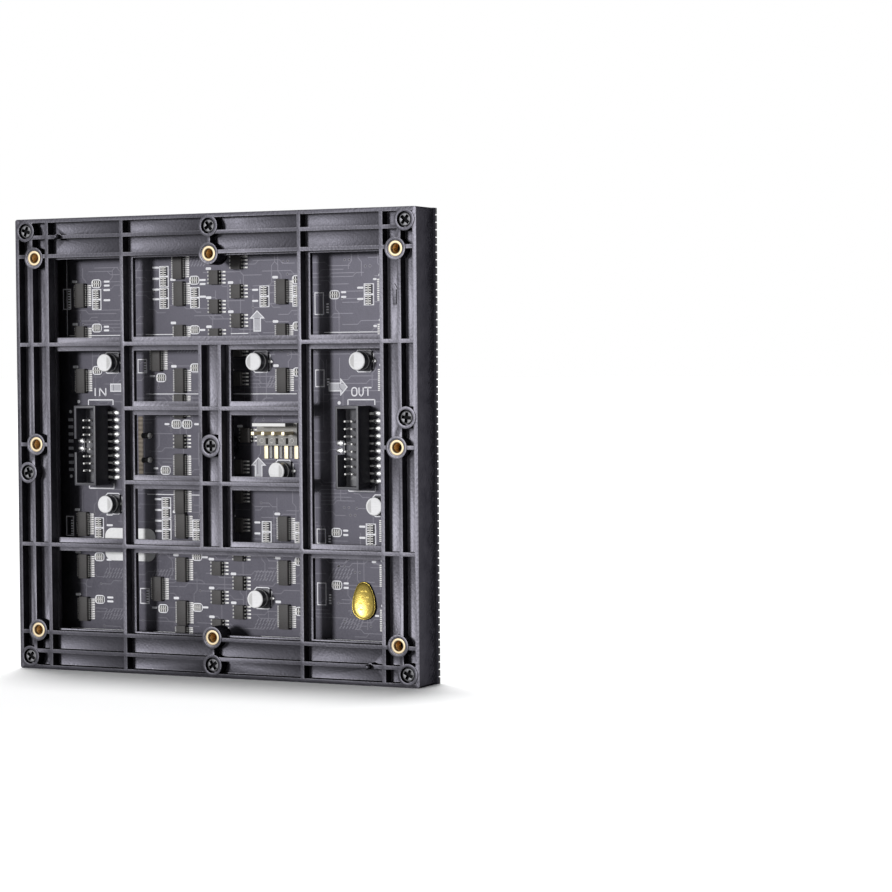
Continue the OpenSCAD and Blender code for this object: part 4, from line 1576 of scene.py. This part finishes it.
@dataclass
class Stickers:
    """The embossed foil seal and the paper label."""

    tip_r: float = 3.0
    # Share of the outline and height of each ring, along the underside and back over the top
    rings: tuple[Pair, ...] = ((0.3, 0.0), (0.55, 0.0), (0.75, 0.0), (0.9, 0.0), (1.0, 0.0), (1.0, 0.14),
                               (0.985, 0.26), (0.965, 0.31), (0.94, 0.31), (0.92, 0.2), (0.9, 0.16),
                               (0.75, 0.16), (0.55, 0.16), (0.3, 0.16))
    crown: float = 0.16
    arc_steps: int = 18
    dish: float = 0.6
    bar_rows: tuple[Pair, ...] = ((3.2, 1.5), (1.2, 2.6), (-0.9, 2.9), (-3.0, 2.4))
    bar_size: Pair = (1.1, 0.5)
    bar_lift: float = 0.12
    bar_roundness: float = 0.9
    sharp_deg: float = 60.0
    label_edge_r: float = 0.05

    def egg(self, width: float, length: float) -> list[Pair]:
        """Give an egg's outline, narrow end up, about the middle of its wide end.

        Args:
            width: width of the egg.
            length: overall length of the egg.

        Returns:
            Points in anticlockwise order.
        """
        wide = width / 2
        rise = length - wide - self.tip_r
        side_r = (rise ** 2 + wide ** 2 - self.tip_r ** 2) / (2 * (wide - self.tip_r))
        lean = math.atan2(rise, side_r - wide)
        arcs = (((wide - side_r, 0.0), side_r, 0.0, lean),
                ((0.0, rise), self.tip_r, lean, math.pi - lean),
                ((side_r - wide, 0.0), side_r, math.pi - lean, math.pi),
                ((0.0, 0.0), wide, math.pi, 2 * math.pi))
        outline = []
        for (u, v), radius, start, end in arcs:
            for step in range(self.arc_steps):
                angle = start + (end - start) * step / self.arc_steps
                outline.append((u + radius * math.cos(angle), v + radius * math.sin(angle)))
        return outline

    def loose(self, pu: float, pv: float, half: Pair) -> float:
        """Give how far a point of the seal has come off the board."""
        return self.dish * ((pu / half[0]) ** 2 + (pv / half[1]) ** 2)

    def build(self, looks: Finishes) -> None:
        """Make both stickers.

        Args:
            looks: the finishes.
        """
        points = solids_of("seal_sticker")[0]
        u, v, _ = middle_of(points)
        width, length, _ = points.max(0) - points.min(0)
        outline = [(pu, pv + width / 2 - length / 2) for pu, pv in self.egg(width, length)]
        half = (width / 2, length / 2)
        rings = [[(u + pu * share, v + pv * share, lift + self.loose(pu * share, pv * share, half))
                  for pu, pv in outline] for share, lift in self.rings]
        shape = Shape()
        shape.loft(rings, (u, v, 0.0), (u, v, self.crown))
        for pv, reach in self.bar_rows:
            for pu in (-reach / 2, reach / 2):
                lift = self.loose(pu, pv, half)
                span = about((u + pu, v + pv), self.bar_size)
                bar = rounded(span, self.bar_size[1] / 2 * self.bar_roundness)
                shape.prism(bar, lift, lift + self.crown + self.bar_lift)
        show_shape(shape, "foil_seal", [looks.foil], ["seal_sticker"], self.sharp_deg)
        show_softened("blank_label", "paper_label", self.label_edge_r, looks.paper)


@dataclass
class Print:
    """White print on the board's solder side."""

    stroke: float = 0.34
    line_share: float = 0.8
    bracket_share: float = 1.2
    word_share: float = 1.35
    fill_share: float = 0.6
    ink_t: float = 0.02
    array_margin: Pair = (1.15, 0.25)
    small_margin: Pair = (0.85, 1.0)
    small_r: float = 1.2
    # Long border lines, each from one point to another
    lines: tuple[Span, ...] = (
        (-66.8, 66.2, -66.8, 38.4), (-66.0, 38.5, -44.0, 38.5), (-66.8, -66.3, -44.0, -66.3),
        (-34.0, 17.7, -12.0, 17.7), (-34.0, -17.7, -12.0, -17.7), (1.0, 17.7, 27.0, 17.7),
        (-33.8, 38.6, -17.0, 38.6), (1.0, 38.6, 8.0, 38.6), (38.0, 38.6, 62.0, 38.6),
        (38.0, 66.0, 62.0, 66.0), (-30.0, 66.0, -20.0, 66.0), (38.0, -66.3, 62.0, -66.3),
        (12.0, -66.3, 30.0, -66.3), (-32.0, -66.3, -22.0, -66.3), (14.0, 11.2, 29.0, 11.2),
    )
    # Brackets round the data headers: u0, u1, v of the bar and length of the legs
    brackets: tuple[Span, ...] = ((-58.2, -47.8, 15.6, -1.8), (-58.2, -47.8, -15.9, 1.8),
                                  (46.9, 57.2, 15.7, -1.8), (46.9, 57.2, -15.4, 1.8))
    # Outlines of places that carry no part, each with a row of bare pads
    bare_places: tuple[Span, ...] = (
        (-68.5, -65.1, 47.9, 55.3), (-68.3, -65.0, -33.2, -26.0), (34.3, 37.9, 44.6, 52.3),
        (34.3, 37.9, -33.6, -28.4), (34.3, 37.9, -54.7, -46.9), (-37.3, -33.4, 25.0, 30.0),
        (-37.3, -33.4, -56.6, -51.0), (34.3, 37.9, 20.0, 26.0),
    )
    tick: Pair = (0.9, 0.5)
    tick_pitch: float = 0.95
    tick_gap: float = 1.0
    tick_share: float = 0.65
    # Short bars beside the parts: u and v of their middle, and their length
    bars: tuple[Triple, ...] = (
        (-49.9, 57.6, 2.4), (-49.9, 56.2, 2.4), (-49.9, 54.6, 2.8), (-49.9, 51.0, 2.8), (-50.2, 41.6, 2.2),
        (-50.2, 40.3, 2.2), (-50.2, -40.0, 2.2), (-50.2, -41.3, 2.2), (-49.9, -54.8, 2.6),
        (-49.9, -56.2, 2.6), (-50.4, 26.6, 2.0), (-49.8, -29.0, 2.6), (-49.8, -25.2, 2.6), (-29.4, 62.1, 2.8),
        (-29.4, 58.2, 2.8), (-29.4, 54.4, 2.8), (-29.4, 51.0, 2.8), (-29.4, -19.4, 2.8), (-29.4, -23.2, 2.8),
        (-29.4, -27.0, 2.8), (-29.4, -30.6, 2.8), (-10.2, 57.4, 2.6), (-10.2, 56.0, 2.4), (-10.2, 51.6, 2.6),
        (-10.4, 40.0, 2.2), (-10.4, -39.4, 2.4), (-10.4, -57.0, 2.4), (10.9, 53.6, 2.4), (10.9, 49.8, 2.4),
        (10.9, -26.8, 2.4), (10.9, -30.6, 2.4), (52.0, 53.6, 2.4), (52.0, 49.8, 2.4), (52.0, -27.4, 2.4),
        (52.0, -31.2, 2.4), (45.6, 52.2, 2.0), (45.6, 50.6, 2.0), (45.6, -28.9, 2.0), (45.6, -30.4, 2.0),
        (45.6, -46.9, 2.0), (45.6, -48.4, 2.0), (-30.2, -8.5, 2.0), (-25.4, 7.1, 2.0), (-13.2, 7.1, 2.0),
        (-31.2, 24.0, 2.2), (-31.4, -57.8, 2.2), (57.6, 56.4, 1.4), (57.6, 40.6, 1.4), (56.4, -39.3, 1.7),
        (57.4, -57.6, 1.6), (-10.2, 0.6, 2.2), (-10.2, -3.4, 2.2), (-9.0, 25.0, 2.0), (-9.2, -19.0, 2.0),
    )
    bar_w: float = 0.7
    bar_r: float = 0.3
    first_pin_r: float = 0.35
    block_r: float = 0.2
    bar_steps: int = 3
    block_steps: int = 2
    dot_steps: int = 14
    first_pin_bar: Pair = (2.2, 0.9)
    first_pin_from_driver: Pair = (-2.9, 5.0)
    first_pin_from_switch: Pair = (-2.8, 3.1)
    # Straight strokes of IN and OUT, each from one point to another
    letter_strokes: tuple[Span, ...] = (
        (-55.3, 17.0, -55.3, 19.8), (-53.4, 17.0, -53.4, 19.8), (-53.4, 19.8, -50.8, 17.0),
        (-50.8, 17.0, -50.8, 19.8), (53.2, 19.8, 56.0, 19.8), (54.6, 19.8, 54.6, 17.0),
        (51.2, 19.8, 51.2, 17.8), (51.2, 17.8, 51.8, 17.0), (51.8, 17.0, 52.2, 17.0),
        (52.2, 17.0, 52.8, 17.8), (52.8, 17.8, 52.8, 19.8),
    )
    round_letter: Span = (48.2, 50.6, 16.8, 20.0)
    letter_r: float = 1.1
    # Tips of the arrows that point up and of those that point to the right
    up_arrows: tuple[Pair, ...] = ((11.6, 46.6), (11.6, -4.2))
    right_arrows: tuple[Pair, ...] = ((46.9, 20.0),)
    arrow_l: float = 7.4
    arrow_head: Pair = (6.2, 2.9)
    arrow_shaft: float = 3.0
    arrow_block: Span = (-48.9, -44.2, 18.5, 21.4)
    dots: tuple[Pair, ...] = ((-62.4, 15.0), (-43.8, 14.9), (43.5, 14.6), (-65.9, 11.4), (-65.9, -11.7))
    dot_r: float = 0.62
    # Blocks beside the data headers: u and v of their middle, and rows
    signals: tuple[tuple[float, float, int], ...] = ((-65.85, -0.4, 8), (43.6, -0.4, 2))
    signal_pitch: float = 2.54
    signal_block: Pair = (2.1, 1.1)
    driver_columns: int = 4
    capacitors: int = 7
    plinth_margin: float = 0.55
    plinth_cut: float = 1.5

    def build(self, looks: Finishes) -> None:
        """Make all the print as white and hatched pieces.

        Args:
            looks: the finishes.
        """
        ink, hatch = Shape(), Shape()
        for u0, v0, u1, v1 in self.lines:
            ink.strip([(u0, v0), (u1, v1)], self.stroke * self.line_share, 0.0, self.ink_t)
        for u0, u1, v, leg in self.brackets:
            corners = [(u0, v + leg), (u0, v), (u1, v), (u1, v + leg)]
            for ends in zip(corners, corners[1:]):
                ink.strip(ends, self.stroke * self.bracket_share, 0.0, self.ink_t)
        for span in self.bare_places:
            ink.outline(rectangle(span), self.stroke, self.ink_t)
            self.add_ticks(ink, span)
        for u, v, length in self.bars:
            bar = rounded(about((u, v), (length, self.bar_w)), self.bar_r, self.bar_steps)
            ink.prism(bar, 0.0, self.ink_t)
        self.add_part_marks(ink)
        self.add_arrows(ink, hatch)
        self.add_words(ink, hatch)
        show_shape(ink, "board_print", [looks.ink])
        show_shape(hatch, "arrow_fills", [looks.pale_ink])

    def add_ticks(self, ink: Shape, span: Span) -> None:
        """Add an empty place's bare pads: inside it at the tile's left, beside it at the right.

        Args:
            ink: the print so far.
            span: outline of the empty place.
        """
        length, width = self.tick
        _, u1, v0, v1 = span
        start = u1 - self.stroke - length if u1 < 0 else u1 + self.tick_gap
        share = 1.0 if u1 < 0 else self.tick_share
        count = int((v1 - v0 - 2 * self.stroke) * share / self.tick_pitch)
        for row in range(count):
            v = v0 + self.stroke + (row + 0.5) * self.tick_pitch
            ink.box((start, start + length, v - width / 2, v + width / 2), 0.0, self.ink_t)

    def add_part_marks(self, ink: Shape) -> None:
        """Add outlines and first-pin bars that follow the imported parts.

        Args:
            ink: the print so far.
        """
        for points in solids_of("resistor_arrays"):
            length, width, _ = points.max(0) - points.min(0)
            lies = length > width
            span = span_of(points, self.small_margin if lies else self.array_margin)
            ink.outline(rounded(span, self.small_r) if lies else rectangle(span), self.stroke, self.ink_t)
        drivers = [points for i in range(self.driver_columns)
                   for points in solids_of(f"driver_chips_{i + 1}")]
        switches = solids_of("row_switches_left") + solids_of("row_switches_right")
        groups = ((drivers, self.first_pin_from_driver), (switches, self.first_pin_from_switch))
        for group, (du, dv) in groups:
            for points in group:
                u, v, _ = middle_of(points)
                span = about((u + du, v + dv), self.first_pin_bar)
                ink.prism(rounded(span, self.first_pin_r, self.bar_steps), 0.0, self.ink_t)
        for index in range(self.capacitors):
            points = solids_of(f"capacitor_{index + 1}_base")[0]
            span = span_of(points, (self.plinth_margin, self.plinth_margin))
            ink.outline(chamfered(span, self.plinth_cut), self.stroke, self.ink_t)

    def arrow(self, tip: Pair, upward: bool) -> list[Pair]:
        """Give an arrow's outline from its tip, pointing up or to the right.

        Args:
            tip: u and v of the tip.
            upward: whether it points up.

        Returns:
            Points in anticlockwise order.
        """
        head_w, head_l = self.arrow_head
        half, shaft = head_w / 2, self.arrow_shaft / 2
        along = [(0.0, 0.0), (-half, -head_l), (-shaft, -head_l), (-shaft, -self.arrow_l),
                 (shaft, -self.arrow_l), (shaft, -head_l), (half, -head_l)]
        if upward:
            return [(tip[0] + a, tip[1] + b) for a, b in along]
        return [(tip[0] + b, tip[1] - a) for a, b in along]

    def add_arrows(self, ink: Shape, hatch: Shape) -> None:
        """Add the outlined arrows with their hatched fill, and the header's arrow block.

        Args:
            ink: the print so far.
            hatch: the hatched print so far.
        """
        outlines = [self.arrow(tip, True) for tip in self.up_arrows]
        outlines += [self.arrow(tip, False) for tip in self.right_arrows]
        outlines.append(rectangle(self.arrow_block))
        for outline in outlines:
            ink.outline(outline, self.stroke, self.ink_t)
            hatch.prism(inset(outline, self.stroke), 0.0, self.ink_t * self.fill_share)

    def add_words(self, ink: Shape, hatch: Shape) -> None:
        """Add the marks for input and output, the headers' signal blocks and the bright dots.

        Args:
            ink: the print so far.
            hatch: the hatched print so far.
        """
        stroke = self.stroke * self.word_share
        for u0, v0, u1, v1 in self.letter_strokes:
            ink.strip([(u0, v0), (u1, v1)], stroke, 0.0, self.ink_t)
        ink.outline(rounded(self.round_letter, self.letter_r), stroke, self.ink_t)
        for dot in self.dots:
            ink.prism(circle(dot, self.dot_r, self.dot_steps), 0.0, self.ink_t)
        for u, middle, rows in self.signals:
            for row in range(rows):
                v = middle + (row - (rows - 1) / 2) * self.signal_pitch
                block = rounded(about((u, v), self.signal_block), self.block_r, self.block_steps)
                hatch.prism(block, 0.0, self.ink_t)


@dataclass
class Routing:
    """Copper under the solder mask: raised runs and the holes at their ends."""

    seed: int = 25
    run_w: float = 0.26
    run_t: float = 0.014
    run_l: Pair = (5.0, 24.0)
    grid: float = 1.25
    reach: float = 66.0
    runs: int = 420
    hatch_runs: int = 7
    hatch_rows: int = 3
    hatch_pitch: Pair = (1.25, 1.3)
    hatch_half: Pair = (0.42, 0.5)
    hatch_w: float = 0.416
    hatch_t: float = 0.0308
    hatch_at: tuple[Pair, ...] = ((-48.0, -46.0), (-48.4, -60.8), (-12.6, 64.0), (13.9, -45.2), (13.9, -62.0),
                                  (-16.0, 34.0), (20.0, 22.0), (43.7, -43.6), (47.7, -60.6), (-28.0, -46.0))
    via_r: float = 0.3
    via_ring_r: float = 0.51
    via_ring_t: float = 0.0154
    via_hole_t: float = 0.0182
    via_steps: tuple[int, int] = (12, 10)
    via_gap: float = 0.9
    bend_share: Pair = (0.3, 0.7)
    turned_share: float = 0.25
    hole_share: float = 0.3
    run_t_share: Pair = (0.5, 1.0)
    least_cells: int = 3
    via_pairs: tuple[Pair, ...] = ((-39.6, 62.8), (-39.6, 60.4), (47.0, 63.2), (54.9, 60.9), (23.0, 63.2),
                                   (46.0, -21.0), (48.4, -23.6), (44.0, -41.0), (50.0, -43.0), (46.0, 33.0))
    # Places with print, which holes stay clear of
    printed: tuple[Span, ...] = ((-57.0, -43.0, 14.5, 22.5), (38.0, 58.0, 14.5, 22.5),
                                 (8.0, 15.0, 38.5, 47.5), (8.0, 15.0, -12.5, -3.5),
                                 (-69.0, -64.0, -13.0, 13.0))

    def build(self, looks: Finishes) -> None:
        """Make the runs and the holes.

        Args:
            looks: the finishes.
        """
        rng = np.random.default_rng(self.seed)
        runs, holes = Shape(), Shape()
        for _ in range(self.runs):
            self.add_run(runs, holes, rng)
        for u, v in self.hatch_at:
            for i, row in itertools.product(range(self.hatch_runs), range(self.hatch_rows)):
                du = u + (i - self.hatch_runs / 2 + row / 2) * self.hatch_pitch[0]
                dv = v + (row - self.hatch_rows // 2) * self.hatch_pitch[1]
                half_u, half_v = self.hatch_half
                path = [(du - half_u, dv - half_v), (du + half_u, dv + half_v)]
                runs.strip(path, self.hatch_w, 0.0, self.hatch_t)
        for u, v in self.via_pairs:
            for du in (-self.via_gap, self.via_gap):
                self.add_via(runs, holes, (u + du, v))
        show_shape(runs, "masked_runs", [looks.trace])
        # The holes are flat dark discs of painted shade.
        show_shape(holes, "hole_shade_discs", [looks.glaze])

    def add_run(self, runs: Shape, holes: Shape, rng: np.random.Generator) -> None:
        """Add one run with a jog to the next grid line, sometimes with a hole at its start.

        Args:
            runs: shape that takes the run.
            holes: shape that takes the hole.
            rng: the routing's own random source.
        """
        cells = int(self.reach / self.grid)
        u, v = (rng.integers(-cells, cells, 2) * self.grid).tolist()
        jog = float(rng.choice([-1.0, 1.0])) * self.grid
        end = min(u + float(rng.uniform(*self.run_l)), self.reach)
        bend = u + (end - u - self.grid) * float(rng.uniform(*self.bend_share))
        turned, ends_in_hole = rng.random(2) < (self.turned_share, self.hole_share)
        if end - u < self.least_cells * self.grid:
            return
        path = [(u, v), (bend, v), (bend + self.grid, v + jog), (end, v + jog)]
        if turned:
            path = [(pv, pu) for pu, pv in path]
        runs.strip(path, self.run_w, 0.0, self.run_t * float(rng.uniform(*self.run_t_share)))
        pu, pv = path[0]
        printed = any(u0 < pu < u1 and v0 < pv < v1 for u0, u1, v0, v1 in self.printed)
        if ends_in_hole and not printed:
            self.add_via(runs, holes, path[0])

    def add_via(self, runs: Shape, holes: Shape, at: Pair) -> None:
        """Add one masked hole: its ring, and a dark disc in its middle as the hole's painted shade.

        Args:
            runs: shape that takes the ring.
            holes: shape that takes the hole.
            at: its middle.
        """
        ring_steps, hole_steps = self.via_steps
        runs.prism(circle(at, self.via_ring_r, ring_steps), 0.0, self.via_ring_t)
        holes.prism(circle(at, self.via_r, hole_steps), 0.0, self.via_hole_t)


@dataclass
class Board:
    """The circuit board with its print, copper and flat pieces."""

    diode_edge_r: float = 0.12
    diode_cap_l: float = 1.3
    bus_edge_r: float = 0.03
    print_layer: Print = field(default_factory=Print)
    routing: Routing = field(default_factory=Routing)

    def build(self, looks: Finishes) -> None:
        """Dress the board and add what lies on it.

        Args:
            looks: the finishes.
        """
        dress("circuit_board", looks.board)
        self.routing.build(looks)
        self.print_layer.build(looks)
        self.build_diodes(looks)
        show_softened("power_bus", "bus_strip", self.bus_edge_r, looks.bus)

    def build_diodes(self, looks: Finishes) -> None:
        """Make the two diodes: dark glass with a bright cap at the right, and the cap at the left in the
        glass's dark as painted shade.

        Args:
            looks: the finishes.
        """
        mesh = softened("line_diodes", "line_diodes_with_shaded_cap", self.diode_edge_r)
        right = max(points[:, 0].max() for points in solids_of("line_diodes"))
        # Only the cap at the right is tin; the left cap stays dark as painted shade.
        for polygon in mesh.polygons:
            u = BENCH.from_metres(np.array([polygon.center]))[0][0]
            polygon.material_index = int(u > right - self.diode_cap_l)
        show(mesh, [looks.glaze, looks.tin], ["line_diodes"])


def main() -> None:
    """Build the studio, the camera and every sub-assembly of the tile."""
    logging.basicConfig(level=logging.INFO, format="%(name)s: %(message)s")
    looks = Finishes()
    Studio().build()
    PhotoCamera().build()
    for assembly in (RearFrame(), LedMatrix(), ChipSet(), Connectors(), Capacitors(), Stickers(), Board()):
        assembly.build(looks)


if __name__ == "__main__":
    main()
